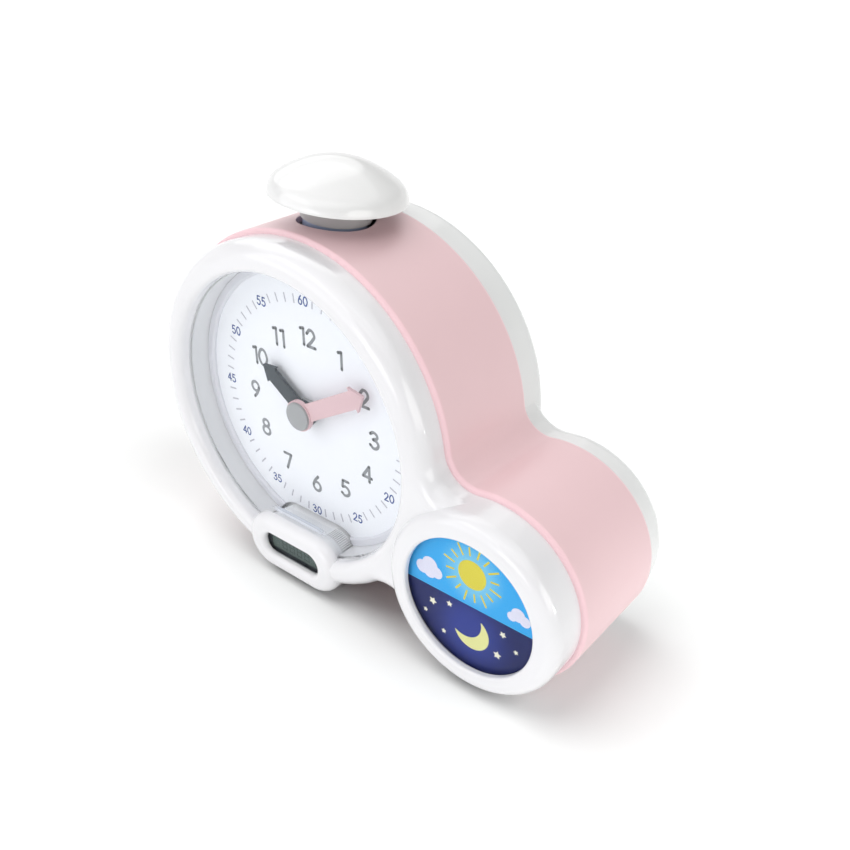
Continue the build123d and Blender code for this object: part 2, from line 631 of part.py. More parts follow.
# ================================================================== small display
HOUSING_FRONT = POD_CREST - POD_WALL - 1.9
HOUSING_WALL = 1.6
HOUSING_TAPER = 5.5       # degrees: the housing narrows towards the dial
with BuildPart() as display_housing:
    with BuildSketch(at(HOUSING_FRONT)):
        add(hump_outline)
    extrude(amount=-DIAL_THICK - HOUSING_FRONT, taper=HOUSING_TAPER)
    with BuildSketch(at(HOUSING_FRONT - HOUSING_WALL)):
        add(pod_slot(HUMP_LONG - 2 * HOUSING_WALL, HUMP_HIGH - 2 * HOUSING_WALL))
    extrude(amount=-DIAL_THICK - HOUSING_FRONT + HOUSING_WALL, taper=HOUSING_TAPER, mode=Mode.SUBTRACT)
    with BuildSketch(at(HOUSING_FRONT)):
        with Locations((0, POD_Y)):
            Rectangle(PANEL_LONG + 0.4, PANEL_HIGH + 0.4)
    extrude(amount=-HOUSING_WALL, mode=Mode.SUBTRACT)
    # fine ribs round the upper right corner
    corner = (HUMP_LONG - HUMP_HIGH) / 2
    rib_middle = (RIB_FROM + RIB_TO) / 2
    rib_seat = HUMP_HIGH / 2 - (HOUSING_FRONT - rib_middle) * tan(radians(HOUSING_TAPER))
    with BuildSketch(at(RIB_FROM)):
        for rib in range(RIBS):
            turn = radians(88 - rib * RIB_PITCH)
            spot = (corner + rib_seat * cos(turn), POD_Y + rib_seat * sin(turn))
            with Locations(Location(spot, degrees(turn))):
                Rectangle(RIB_HIGH, RIB_WIDE)
    extrude(amount=RIB_TO - RIB_FROM)
    # open below, where the frame's lip and the band close it off
    with BuildSketch(at(-DIAL_THICK)):
        Circle(BIG_R + 10)
        Circle(INSIDE_R, mode=Mode.SUBTRACT)
    extrude(amount=DIAL_THICK + SEAM_FRONT + 0.2, mode=Mode.SUBTRACT)
save(display_housing, "display_housing")

with BuildPart() as display_panel:
    with BuildSketch(at(HOUSING_FRONT - HOUSING_WALL)):
        with Locations((0, POD_Y)):
            Rectangle(PANEL_LONG, PANEL_HIGH)
    extrude(amount=2.2)
save(display_panel, "display_panel")

with BuildPart() as display_window:
    with BuildSketch(at(HOUSING_FRONT + 0.7)):
        add(pod_slot(SLOT_LONG + 4, SLOT_HIGH + 4))
    extrude(amount=1.1)
save(display_window, "display_window")

with BuildPart() as display_board:
    with BuildSketch(at(HOUSING_FRONT - HOUSING_WALL - 1.4)):
        with Locations((0, POD_Y)):
            Rectangle(PANEL_LONG + 2, PANEL_HIGH + 3)
    extrude(amount=1.2)
save(display_board, "display_board")

# ================================================================== day and night light
with BuildPart() as picture_cover:
    with BuildSketch(at(PICTURE_FRONT - 1.5)):
        with Locations((LOBE_X, LOBE_Y)):
            Circle(SEAT_R - 0.2)
    extrude(amount=1.5)
save(picture_cover, "picture_cover")

with BuildPart() as picture_sheet:
    with BuildSketch(at(PICTURE_BACK)):
        with Locations((LOBE_X, LOBE_Y)):
            Circle(SEAT_R - 0.3)
    extrude(amount=0.5)
save(picture_sheet, "picture_sheet")

LED_SPOTS = {
    name: [(LOBE_X + x, LOBE_Y + y) for x in (-LED_X, 0, LED_X)]
    for name, y in (("day_leds", LED_Y), ("night_leds", -LED_Y))
}
with BuildPart() as light_box:
    with BuildSketch(at(BOX_BACK)):
        with Locations((LOBE_X, LOBE_Y)):
            Circle(BOX_R)
    extrude(amount=PICTURE_BACK - 0.1 - BOX_BACK)
    # an upper chamber for day and a lower one for night
    with BuildSketch(at(BOX_BACK + BOX_WALL)):
        with Locations((LOBE_X, LOBE_Y)):
            Circle(BOX_R - BOX_WALL)
            Rectangle(2 * BOX_R, BOX_WALL, mode=Mode.SUBTRACT)
    extrude(amount=PICTURE_BACK - BOX_BACK, mode=Mode.SUBTRACT)
    with BuildSketch(at(BOX_BACK)):
        with Locations(*LED_SPOTS["day_leds"], *LED_SPOTS["night_leds"]):
            Circle(LED_R + 0.3)
    extrude(amount=BOX_WALL, mode=Mode.SUBTRACT)
    # one ear, on the boss at the far end of the small lobe
    with BuildSketch(at(TRAY_BACK)):
        with Locations(POSTS[4]):
            Circle(PILLAR_R)
        with Locations(Location((0.965 * POSTS[4][0], 0.965 * POSTS[4][1]), degrees(NECK))):
            Rectangle(8, 2 * PILLAR_R)
        with Locations((LOBE_X, LOBE_Y)):
            Circle(BOX_R - BOX_WALL, mode=Mode.SUBTRACT)
        with Locations(POSTS[4]):
            Circle(SPIGOT_R + SPIGOT_GAP, mode=Mode.SUBTRACT)
    extrude(amount=TRAY_FLOOR)
save(light_box, "light_box")

with BuildPart() as light_board:
    with BuildSketch(at(BOX_BACK - 0.2)):
        with Locations((LOBE_X, LOBE_Y)):
            Circle(LIGHT_BOARD_R)
    extrude(amount=-BOARD_THICK)
save(light_board, "light_board")

for name, spots in LED_SPOTS.items():
    with BuildPart() as leds:
        with BuildSketch(at(BOX_BACK - 0.2)):
            with Locations(*spots):
                Circle(LED_R)
        extrude(amount=LED_HIGH)
        fillet(rim(leds, BOX_BACK - 0.2 + LED_HIGH), radius=LED_R / 2)
    save(leds, name)

# ================================================================== hands
def hand(depth, angle, stem, shoulder, head, tip, hub, bore):
    """Flat arrow-headed hand on a round hub, turned clockwise from twelve.

    stem and head are half widths, shoulder and tip lengths, hub and bore radii.
    """
    turn = radians(-angle)
    face = Plane(at(depth).origin, x_dir=(cos(turn), 0, sin(turn)), z_dir=dial.z_dir)
    with BuildSketch(face) as flat:
        with BuildLine():
            Polyline(
                (-stem, 0), (-stem, shoulder), (-head, shoulder), (0, tip),
                (head, shoulder), (stem, shoulder), (stem, 0), close=True,
            )
        make_face()
        Circle(hub)
        Circle(bore, mode=Mode.SUBTRACT)
    extrude(flat.sketch, amount=HAND_THICK)


with BuildPart() as hour_hand:
    hand(HOUR_HAND, HOUR_ANGLE, stem=3.4, shoulder=21.5, head=5.0, tip=27.5, hub=6.0, bore=HOUR_TUBE_R)
save(hour_hand, "hour_hand")

with BuildPart() as minute_hand:
    hand(MINUTE_HAND, MINUTE_ANGLE, stem=3.8, shoulder=35.5, head=5.4, tip=41.7, hub=HUB_R, bore=ARBOR_R)
    with BuildSketch(at(MINUTE_HAND + HAND_THICK)):
        Circle(HUB_R)
        Circle(ARBOR_R, mode=Mode.SUBTRACT)
    extrude(amount=HUB_CAP_BACK - MINUTE_HAND - HAND_THICK)
save(minute_hand, "minute_hand")

with BuildPart() as hub_cap:
    with BuildSketch(at(HUB_CAP_BACK)):
        Circle(HUB_CAP_R)
    extrude(amount=HUB_CAP_FRONT - HUB_CAP_BACK)
    fillet(rim(hub_cap, HUB_CAP_FRONT), radius=0.5)
save(hub_cap, "hub_cap")


# ================================================================== movement
def gear_outline(teeth, module, phase):
    """Corners of a spur gear with one tooth at a given angle, in degrees."""
    pitch_r = module * teeth / 2
    # radius, and share of the pitch that the tooth fills there
    section = [(pitch_r - 1.2 * module, 0.66), (pitch_r, 0.44), (pitch_r + 0.9 * module, 0.18)]
    corners = []
    for tooth in range(teeth):
        middle = radians(phase) + 2 * pi * tooth / teeth
        flank = [(r, pi * share / teeth) for r, share in section]
        corners += [(r * cos(middle - half), r * sin(middle - half)) for r, half in flank]
        corners += [(r * cos(middle + half), r * sin(middle + half)) for r, half in reversed(flank)]
    return corners


def wheel(centre, low, high, teeth, module, phase):
    """Toothed wheel about a centre, between two depths."""
    middle = at(low).from_local_coords((*centre, 0))
    with BuildSketch(Plane(middle, x_dir=dial.x_dir, z_dir=dial.z_dir)) as flat:
        with BuildLine():
            Polyline(*gear_outline(teeth, module, phase), close=True)
        make_face()
    extrude(flat.sketch, amount=high - low)


def shaft(centre, *lengths):
    """Stepped round shaft along the dial's axis: (from depth, to depth, radius) each."""
    for low, high, radius in lengths:
        with BuildSketch(at(low)) as end:
            with Locations(centre):
                Circle(radius)
        extrude(end.sketch, amount=high - low)


CENTRE = (0, 0)
MINUTE_WHEEL_SPOT = (0, MOTION_DISTANCE)
DRIVE_SPOT = (-DRIVE_DISTANCE, 0)
ROTOR_SPOT = (-DRIVE_DISTANCE, -DRIVE_DISTANCE)
UP, LEFT, DOWN = 90, 180, 270

# the minute arbor runs through the hour wheel's tube and carries the cannon pinion
with BuildPart() as minute_arbor:
    shaft(CENTRE, (-8.4, HUB_CAP_BACK, ARBOR_R), (-16.5, -8.4, 1.2), (-19.0, -16.5, PIVOT_R))
    wheel(CENTRE, -10.6, -8.4, CANNON_TEETH, MODULE, UP)
save(minute_arbor, "minute_arbor")

with BuildPart() as centre_wheel:
    wheel(CENTRE, -13.2, -12.0, DRIVE_WHEEL_TEETH, TRAIN_MODULE, LEFT + 180 / DRIVE_WHEEL_TEETH)
    with BuildSketch(at(-13.8)):
        Circle(2.4)
    extrude(amount=2.4)
    with BuildSketch(at(-13.8)):
        Circle(1.2)
    extrude(amount=2.4, mode=Mode.SUBTRACT)
save(centre_wheel, "centre_wheel")

with BuildPart() as hour_wheel:
    wheel(CENTRE, -7.6, -6.0, HOUR_WHEEL_TEETH, MODULE, UP + 180 / HOUR_WHEEL_TEETH)
    shaft(CENTRE, (-6.0, HOUR_HAND + HAND_THICK + 0.1, HOUR_TUBE_R))
    with BuildSketch(at(-7.6)):
        Circle(ARBOR_R + RUN)
    extrude(amount=16, mode=Mode.SUBTRACT)
save(hour_wheel, "hour_wheel")

with BuildPart() as minute_wheel:
    wheel(MINUTE_WHEEL_SPOT, -10.2, -8.6, MINUTE_WHEEL_TEETH, MODULE, DOWN + 180 / MINUTE_WHEEL_TEETH)
    wheel(MINUTE_WHEEL_SPOT, -8.6, -5.8, MINUTE_PINION_TEETH, MODULE, DOWN)
    shaft(MINUTE_WHEEL_SPOT, (STEM_END, -10.2, STEM_R), (-5.8, -4.4, PIVOT_R))
save(minute_wheel, "minute_wheel")

with BuildPart() as drive_wheel:
    wheel(DRIVE_SPOT, -13.6, -11.6, DRIVE_PINION_TEETH, TRAIN_MODULE, 0)
    wheel(DRIVE_SPOT, -15.8, -14.6, DRIVE_WHEEL_TEETH, TRAIN_MODULE, DOWN + 180 / DRIVE_WHEEL_TEETH)
    shaft(DRIVE_SPOT, (-19.0, -17.0, FINE_PIVOT_R), (-17.0, -6.2, STAFF_R), (-6.2, -4.4, FINE_PIVOT_R))
save(drive_wheel, "drive_wheel")

with BuildPart() as rotor:
    wheel(ROTOR_SPOT, -16.0, -14.2, DRIVE_PINION_TEETH, TRAIN_MODULE, UP)
    shaft(ROTOR_SPOT, (-19.0, -17.0, FINE_PIVOT_R), (-17.0, -6.2, STAFF_R), (-6.2, -4.4, FINE_PIVOT_R))
    shaft(ROTOR_SPOT, (-12.0, -6.8, MAGNET_R))
save(rotor, "rotor")

# stator plate round the rotor's magnet, with the coil across its two legs
COIL_Y, COIL_X, COIL_DEPTH = -18.9, -2.0, -9.4
with BuildPart() as stator:
    with BuildSketch(at(-9.6)):
        with Locations((COIL_X, -11.0)):
            Rectangle(30, 5)
        with Locations((COIL_X - 13, -14.5), (COIL_X + 13, -14.5)):
            Rectangle(4, 10)
        with Locations(ROTOR_SPOT):
            Circle(5.2)
            Circle(3.5, mode=Mode.SUBTRACT)
    extrude(amount=1.2)
save(stator, "stator")

with BuildPart() as coil:
    with BuildSketch(Plane.YZ.offset(DIAL_X + COIL_X - 10)):
        with Locations((DIAL_Y - COIL_DEPTH, DIAL_Z + COIL_Y)):
            Circle(2.7)
    extrude(amount=20)
    for end in (-11, 10):
        with BuildSketch(Plane.YZ.offset(DIAL_X + COIL_X + end)):
            with Locations((DIAL_Y - COIL_DEPTH, DIAL_Z + COIL_Y)):
                Rectangle(6.2, 6.2)
        extrude(amount=1.0)
save(coil, "coil")

CASE_WIDE, CASE_HIGH, CASE_X, CASE_Y = 46.0, 50.0, -1.0, 1.0
PIVOTS = [(MINUTE_WHEEL_SPOT, PIVOT_R), (DRIVE_SPOT, FINE_PIVOT_R), (ROTOR_SPOT, FINE_PIVOT_R)]
with BuildPart() as movement_cover:
    with BuildSketch(at(COVER_BACK)):
        with Locations((CASE_X, CASE_Y)):
            RectangleRounded(CASE_WIDE, CASE_HIGH, 3)
    extrude(amount=1.4)
    with BuildSketch(at(COVER_BACK)):
        Circle(BUSH_R)
    extrude(amount=BUSH_FRONT - COVER_BACK)
    with BuildSketch(at(COVER_BACK)):
        Circle(HOUR_TUBE_R + RUN)
    extrude(amount=BUSH_FRONT - COVER_BACK, mode=Mode.SUBTRACT)
    for spot, radius in PIVOTS:
        with BuildSketch(at(COVER_BACK)):
            with Locations(spot):
                Circle(radius + RUN)
        extrude(amount=1.0, mode=Mode.SUBTRACT)
save(movement_cover, "movement_cover")

with BuildPart() as movement_nut:
    with BuildSketch(at(0.1)):
        RegularPolygon(radius=5.0, side_count=6, major_radius=False)
        Circle(BUSH_R + RUN, mode=Mode.SUBTRACT)
    extrude(amount=1.7)
save(movement_nut, "movement_nut")

with BuildPart() as movement_case:
    with BuildSketch(at(CASE_BACK)):
        with Locations((CASE_X, CASE_Y)):
            RectangleRounded(CASE_WIDE, CASE_HIGH, 3)
    extrude(amount=COVER_BACK - CASE_BACK)
    with BuildSketch(at(CASE_BACK + 1.6)):
        with Locations((CASE_X, CASE_Y)):
            RectangleRounded(CASE_WIDE - 3, CASE_HIGH - 3, 1.5)
    extrude(amount=COVER_BACK - CASE_BACK, mode=Mode.SUBTRACT)
    with BuildSketch(at(CASE_BACK + 0.5)):
        Circle(PIVOT_R + RUN)
        with Locations(DRIVE_SPOT, ROTOR_SPOT):
            Circle(FINE_PIVOT_R + RUN)
    extrude(amount=3, mode=Mode.SUBTRACT)
    with BuildSketch(at(CASE_BACK)):
        with Locations(MINUTE_WHEEL_SPOT):
            Circle(STEM_R + RUN)
    extrude(amount=3, mode=Mode.SUBTRACT)
save(movement_case, "movement_case")

with BuildPart() as setting_knob:
    with BuildSketch(at(REAR_FACE + 0.2)):
        with Locations(MINUTE_WHEEL_SPOT):
            Circle(KNOB_R)
            with PolarLocations(KNOB_R + GRIP_R / 2, KNOB_GRIPS):
                Circle(GRIP_R, mode=Mode.SUBTRACT)
    extrude(amount=KNOB_THICK)
    with BuildSketch(at(STEM_END)):
        with Locations(MINUTE_WHEEL_SPOT):
            Circle(STEM_R)
    extrude(amount=KNOB_THICK, mode=Mode.SUBTRACT)
    with BuildSketch(at(REAR_FACE + 0.2)):
        with Locations(MINUTE_WHEEL_SPOT):
            Circle(KNOB_R - 2.4)
    extrude(amount=0.5, mode=Mode.SUBTRACT)
save(setting_knob, "setting_knob")

# ================================================================== mushroom button
# plane across the button: its origin is the middle of the rim, its normal the leaning axis
button = Plane(
    origin=dial.from_local_coords((BUTTON_X, BUTTON_UP, -BUTTON_BACK)),
    x_dir=(1, 0, -tan(radians(LEAN_RIGHT))),
    z_dir=(tan(radians(LEAN_RIGHT)), tan(radians(LEAN_BACK)), 1),
)
button_side = Plane(origin=button.origin, x_dir=button.x_dir, z_dir=-button.y_dir)
button_axis = Axis(button.origin, button.z_dir)


def dome(radius, height):
    """Three tangent arcs from the top of the cap to its rim."""
    top = TangentArc((0, height), (0.444 * radius, 0.845 * height), tangent=(1, 0))
    shoulder = TangentArc(top @ 1, (0.865 * radius, 0.413 * height), tangent=top % 1)
    TangentArc(shoulder @ 1, (radius, 0), tangent=shoulder % 1)


def button_ring(low, high, outer, inner=0.0):
    """Round length of the button's mechanism, between two heights along its axis."""
    with BuildSketch(button.offset(low)) as section:
        Circle(outer)
        if inner:
            Circle(inner, mode=Mode.SUBTRACT)
    extrude(section.sketch, amount=high - low)


with BuildPart() as button_cap:
    with BuildSketch(button_side):
        with BuildLine():
            dome(CAP_R, CAP_HIGH)
            Line((CAP_R, 0), (CAP_R, -RIM_BELOW / 2))
            Line((CAP_R, -RIM_BELOW / 2), (CAP_R - CAP_WALL, -RIM_BELOW / 2))
            Line((CAP_R - CAP_WALL, -RIM_BELOW / 2), (CAP_R - CAP_WALL, 0))
            dome(CAP_R - CAP_WALL, CAP_HIGH - CAP_WALL)
            Line((0, CAP_HIGH - CAP_WALL), (0, CAP_HIGH))
        make_face()
    revolve(axis=button_axis)
    # boss that grips the plunger
    with BuildSketch(button_side):
        with BuildLine():
            Polyline(
                (ROD_R, CAP_BOSS_END), (CAP_BOSS_R, CAP_BOSS_END), (CAP_BOSS_R, CAP_HIGH - CAP_WALL),
                (0, CAP_HIGH - 1), (0, ROD_TOP + 0.2), (ROD_R, ROD_TOP + 0.2), close=True,
            )
        make_face()
    revolve(axis=button_axis)
save(button_cap, "button_cap")

with BuildPart() as button_skirt:
    button_ring(0, FLANGE_THICK, CAP_R - CAP_WALL - 0.6, FLANGE_BORE_R)
    button_ring(-SKIRT_LONG, 0, SKIRT_R, SKIRT_R - SKIRT_WALL)
save(button_skirt, "button_skirt")

with BuildPart() as button_plunger:
    button_ring(ROD_END, ROD_TOP, ROD_R)
save(button_plunger, "button_plunger")

with BuildPart() as plunger_clip:
    button_ring(GUIDE_FLOOR - 0.3 - CLIP_THICK, GUIDE_FLOOR - 0.3, CLIP_R, ROD_R)
save(plunger_clip, "plunger_clip")

with BuildPart() as return_spring:
    with BuildLine(button.offset(GUIDE_FLOOR + GUIDE_FLOOR_THICK + SPRING_WIRE)):
        Helix(pitch=SPRING_PITCH, height=SPRING_PITCH * SPRING_TURNS, radius=SPRING_R)
    with BuildSketch(Plane(return_spring.pending_edges[0] @ 0, z_dir=return_spring.pending_edges[0] % 0)):
        RegularPolygon(SPRING_WIRE, 6)
    sweep(is_frenet=True)
save(return_spring, "return_spring")

# tube that guides the skirt, with a cage below it for the switch
with BuildPart() as button_guide:
    button_ring(GUIDE_FLOOR, GUIDE_TOP, GUIDE_R, GUIDE_R - GUIDE_WALL)
    button_ring(GUIDE_FLOOR, GUIDE_FLOOR + GUIDE_FLOOR_THICK, GUIDE_R, ROD_R + 0.3)
    with BuildSketch(button.offset(SWITCH_SEAT - CAGE_WALL)):
        Rectangle(CAGE_LONG, CAGE_WIDE)
    extrude(amount=GUIDE_FLOOR - SWITCH_SEAT + CAGE_WALL)
    with BuildSketch(button.offset(SWITCH_SEAT)):
        Rectangle(CAGE_LONG - 2 * CAGE_WALL, CAGE_WIDE)
    extrude(amount=GUIDE_FLOOR - SWITCH_SEAT, mode=Mode.SUBTRACT)
    # foot that joins the cage to the back of the dial's tray
    with BuildSketch(at(TRAY_BACK - 0.05)):
        with Locations((-2.5, 53)):
            Rectangle(26, 13)
    extrude(amount=-10)
save(button_guide, "button_guide")

with BuildPart() as button_switch:
    with BuildSketch(button.offset(SWITCH_SEAT)):
        Rectangle(SWITCH_SIDE, SWITCH_SIDE)
    extrude(amount=SWITCH_HIGH)
    button_ring(SWITCH_SEAT + SWITCH_HIGH, SWITCH_SEAT + SWITCH_HIGH + 1.5, SWITCH_TIP_R)
save(button_switch, "button_switch")

# ================================================================== electronics
BOARD_MIDDLE = (sum(BOARD_POST_XS) / 2, KEY_Y)
with BuildPart() as main_board:
    with BuildSketch(at(BOARD_REAR)):
        with Locations(BOARD_MIDDLE):
            Rectangle(BOARD_POST_XS[1] - BOARD_POST_XS[0] + 6, BOARD_HIGH)
    extrude(amount=BOARD_THICK)
save(main_board, "main_board")

BOARD_FRONT = BOARD_REAR + BOARD_THICK
with BuildPart() as board_parts:
    with BuildSketch(at(BOARD_FRONT)):
        with Locations((-22, KEY_Y), (6, KEY_Y + 2)):
            Rectangle(10, 7)
        with Locations((22, KEY_Y - 3)):
            Circle(3.2)
        with Locations((-4, KEY_Y - 4)):
            Rectangle(4, 2)
    extrude(amount=2.2)
save(board_parts, "board_parts")

with BuildPart() as key_switches:
    with BuildSketch(at(BOARD_REAR)):
        with Locations(*[(x, KEY_Y) for x in KEY_XS]):
            Rectangle(SWITCH_SIDE, SWITCH_SIDE)
    extrude(amount=-SWITCH_HIGH)
    with BuildSketch(at(BOARD_REAR - SWITCH_HIGH)):
        with Locations(*[(x, KEY_Y) for x in KEY_XS]):
            Circle(SWITCH_TIP_R)
    extrude(amount=-0.7)
save(key_switches, "key_switches")

for x, name in zip(KEY_XS, KEY_NAMES):
    with BuildPart() as key:
        with BuildSketch(at(REAR_FACE + SEATED)):
            with Locations((x, KEY_Y)):
                Circle(KEY_R)
        extrude(amount=KEY_LONG)
        chamfer(rim(key, REAR_FACE + SEATED), length=KEY_ROUND)
        with BuildSketch(at(BACK_INSIDE + 0.2)):
            with Locations((x, KEY_Y)):
                Circle(KEY_R + KEY_FLANGE)
        extrude(amount=KEY_FLANGE)
        with BuildSketch(at(BACK_INSIDE + 0.2 + KEY_FLANGE)):
            with Locations((x, KEY_Y)):
                Circle(KEY_STEM_R)
        extrude(amount=1.4)
    save(key, name)

with BuildPart() as sound_slider:
    with BuildSketch(at(REAR_FACE + 0.4)):
        with Locations((SLIDER_X, KEY_Y)):
            Rectangle(SLIDER_LONG, SLIDER_HIGH)
    extrude(amount=3)
    chamfer(sound_slider.edges().group_by(Axis.Y)[-1], length=0.4)
    with BuildSketch(at(BACK_INSIDE + 0.2)):
        with Locations((SLIDER_X, KEY_Y)):
            Rectangle(SLIDER_PLATE_LONG, SLIDER_PLATE_HIGH)
    extrude(amount=0.9)
    with BuildSketch(at(BACK_INSIDE + 1.1)):
        with Locations((SLIDER_X, KEY_Y)):
            Rectangle(2, 2)
    extrude(amount=2.8)
save(sound_slider, "sound_slider")

with BuildPart() as slider_switch:
    with BuildSketch(at(BOARD_REAR)):
        with Locations((SLIDER_X, KEY_Y)):
            Rectangle(13, 6)
    extrude(amount=-4.5)
    with BuildSketch(at(BOARD_REAR - 4.5)):
        with Locations((SLIDER_X, KEY_Y)):
            Rectangle(2 * SLIDER_TRAVEL + 3, 2.6)
    extrude(amount=1.2, mode=Mode.SUBTRACT)
save(slider_switch, "slider_switch")

with BuildPart() as speaker:
    speaker_middle = dial.from_local_coords((SPEAKER_X, SPEAKER_Y, 0))
    with BuildSketch(Plane(speaker_middle, x_dir=dial.x_dir, z_dir=(0, 0, 1))):
        with BuildLine():
            # half section: cone and dust cap towards the grille, basket and magnet behind
            Polyline((0, 57.2), (3.5, 56.2), (11.5, 58.8), (12.6, 59.3), (SPEAKER_R, 59.3))
            Polyline((SPEAKER_R, 59.3), (SPEAKER_R, 57.8), (8.8, 54.5), (8.8, 50.5), (0, 50.5), (0, 57.2))
        make_face()
    revolve(axis=Axis(speaker_middle, (0, 1, 0)))
save(speaker, "speaker")

with BuildPart() as power_jack:
    with BuildSketch(at(BACK_INSIDE + 0.05)):
        with Locations((JACK_X, JACK_Y)):
            Rectangle(JACK_BLOCK_WIDE, JACK_BLOCK_HIGH)
    extrude(amount=JACK_BLOCK_LONG)
    with BuildSketch(at(REAR_FACE + 0.3)):
        with Locations((JACK_X, JACK_Y)):
            Circle(JACK_HOLE_R - 0.15)
    extrude(amount=3)
    with BuildSketch(at(REAR_FACE + 0.3)):
        with Locations((JACK_X, JACK_Y)):
            Circle(JACK_BORE_R)
            Circle(JACK_PIN_R, mode=Mode.SUBTRACT)
    extrude(amount=9, mode=Mode.SUBTRACT)
    with BuildSketch(at(REAR_FACE)):
        with Locations((JACK_X, JACK_Y)):
            Circle(JACK_BORE_R)
    extrude(amount=1.5, mode=Mode.SUBTRACT)
save(power_jack, "power_jack")

# ================================================================== batteries
CELL_ROWS = [(BAY_Y + row * CELL_PITCH, 1 if row == 0 else -1) for row in (-1, 0, 1)]
BAY_END = BAY_LONG / 2
with BuildPart() as aa_cells:
    for y, side in CELL_ROWS:
        # the button end faces one contact and the flat end the spring at the other
        button_end = side * (BAY_END - PLATE_THICK)
        with BuildSketch(Plane.YZ.offset(DIAL_X + button_end - side * BUTTON_END_LONG)):
            with Locations((DIAL_Y - CELL_DEPTH, DIAL_Z + y)):
                Circle(CELL_R)
        extrude(amount=-side * CELL_LONG)
        with BuildSketch(Plane.YZ.offset(DIAL_X + button_end)):
            with Locations((DIAL_Y - CELL_DEPTH, DIAL_Z + y)):
                Circle(BUTTON_END_R)
        extrude(amount=-side * BUTTON_END_LONG)
save(aa_cells, "aa_cells")

with BuildPart() as contact_plates:
    for y, side in CELL_ROWS:
        with BuildSketch(Plane.YZ.offset(DIAL_X + side * BAY_END)):
            with Locations((DIAL_Y - CELL_DEPTH, DIAL_Z + y)):
                Rectangle(PLATE_SIDE, PLATE_SIDE)
        extrude(amount=-side * PLATE_THICK)
save(contact_plates, "contact_plates")

# sprung contacts: a plate on the end wall with a bowed tongue that presses on the cell
CELL_FLAT_END = BAY_END - PLATE_THICK - BUTTON_END_LONG - CELL_LONG
with BuildPart() as contact_springs:
    for y, side in CELL_ROWS:
        wall_x = DIAL_X - side * BAY_END
        flat_x = DIAL_X + side * CELL_FLAT_END
        middle_y = DIAL_Y - CELL_DEPTH
        with BuildSketch(Plane.XY.offset(DIAL_Z + y - 3)):
            with BuildLine():
                spine = Polyline(
                    (wall_x + side * 0.2, middle_y - 5), (wall_x + side * 0.2, middle_y + 5),
                    (flat_x - side * 0.3, middle_y + 1), (flat_x - side * 2.2, middle_y - 4),
                )
            trace(spine, line_width=PLATE_THICK)
        extrude(amount=6)
save(contact_springs, "contact_springs")
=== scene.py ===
# %% [markdown]
# # A child's alarm clock with a night light
# The solid parts of the clock come in as a fixed frame, one object for each piece. This script
# gives them their finishes and adds what is printed, engraved or too fine for the solids.
# Everything is in metres: +X to the right as the dial is read, -Y towards the reader, +Z up.

# %% Load the solid parts
from math import atan2, cos, hypot, pi, radians, sin

import bmesh
import bpy
from mathutils import Matrix, Vector


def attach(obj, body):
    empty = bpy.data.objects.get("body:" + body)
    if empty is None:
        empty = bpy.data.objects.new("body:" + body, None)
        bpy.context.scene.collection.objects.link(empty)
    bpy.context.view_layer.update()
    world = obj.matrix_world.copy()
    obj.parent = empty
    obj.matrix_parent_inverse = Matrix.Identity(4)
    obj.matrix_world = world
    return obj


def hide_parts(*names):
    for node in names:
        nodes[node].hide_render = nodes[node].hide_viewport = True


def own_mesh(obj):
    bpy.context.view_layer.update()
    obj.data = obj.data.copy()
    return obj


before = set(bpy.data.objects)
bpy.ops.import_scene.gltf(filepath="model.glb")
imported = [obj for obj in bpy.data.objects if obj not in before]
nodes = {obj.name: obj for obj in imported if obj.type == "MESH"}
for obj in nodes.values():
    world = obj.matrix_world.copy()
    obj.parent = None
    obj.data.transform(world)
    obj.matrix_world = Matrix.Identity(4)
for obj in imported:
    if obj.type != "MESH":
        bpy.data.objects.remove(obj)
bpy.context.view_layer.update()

# %% [markdown]
# ## Where things are
# Most of this clock is round about the axis of its dial. Places could be typed in as bare
# coordinates of the room, but then nobody could check them against a real dial. So they are
# given on the dial: so many millimetres to the right, so many up, and so many out of it towards
# the reader. The picture of day and night has its own centre, in the small lobe on the right,
# and the pod of the display has another, under the dial.

# %% Places on the dial
MM = 0.001
DIAL = Vector((-30.6, -20.25, 81.2)) * MM
LOBE = (97.8, -39.5)
POD = (0, -64.5)


def on_dial(right, up, out=0.0):
    """A point of the room, from millimetres on the dial."""
    return DIAL + Vector((right, -out, up)) * MM


# a flat shape drawn on XY stands upright on the dial after this turn
STAND_UP = Matrix.Rotation(pi / 2, 4, "X")

print("dial centre", on_dial(0, 0), "picture centre", on_dial(*LOBE))

# %% [markdown]
# ## Camera
# The clock is seen from above and from the right of its dial. A camera could be aimed by eye
# until the view looks right. Here its place and direction were worked out from the clock's own
# circles, which look like ovals from this side, and a longer lens than the usual one keeps the
# two lobes in proportion.

# %% Camera
camera_data = bpy.data.cameras.new("camera")
camera_data.sensor_width = 36.0
camera_data.lens = 39.45
camera = bpy.data.objects.new("camera", camera_data)
bpy.context.scene.collection.objects.link(camera)
camera.location = (0.22069, -0.25154, 0.26956)
view_direction = Vector((-0.54890, 0.66940, -0.50062))
camera.rotation_euler = view_direction.to_track_quat("-Z", "Y").to_euler()
bpy.context.scene.camera = camera
print("camera", camera.location, "lens", camera_data.lens)

# %% [markdown]
# ## A small language for materials
# A material is a net of nodes, and wiring it by hand takes three lines for each sum. Shader
# maths reads best as ordinary expressions, so one class wraps a shader socket and gives it
# plus, minus, times and divide. `between` is the most used: it turns a measure into a mask
# with a soft edge.

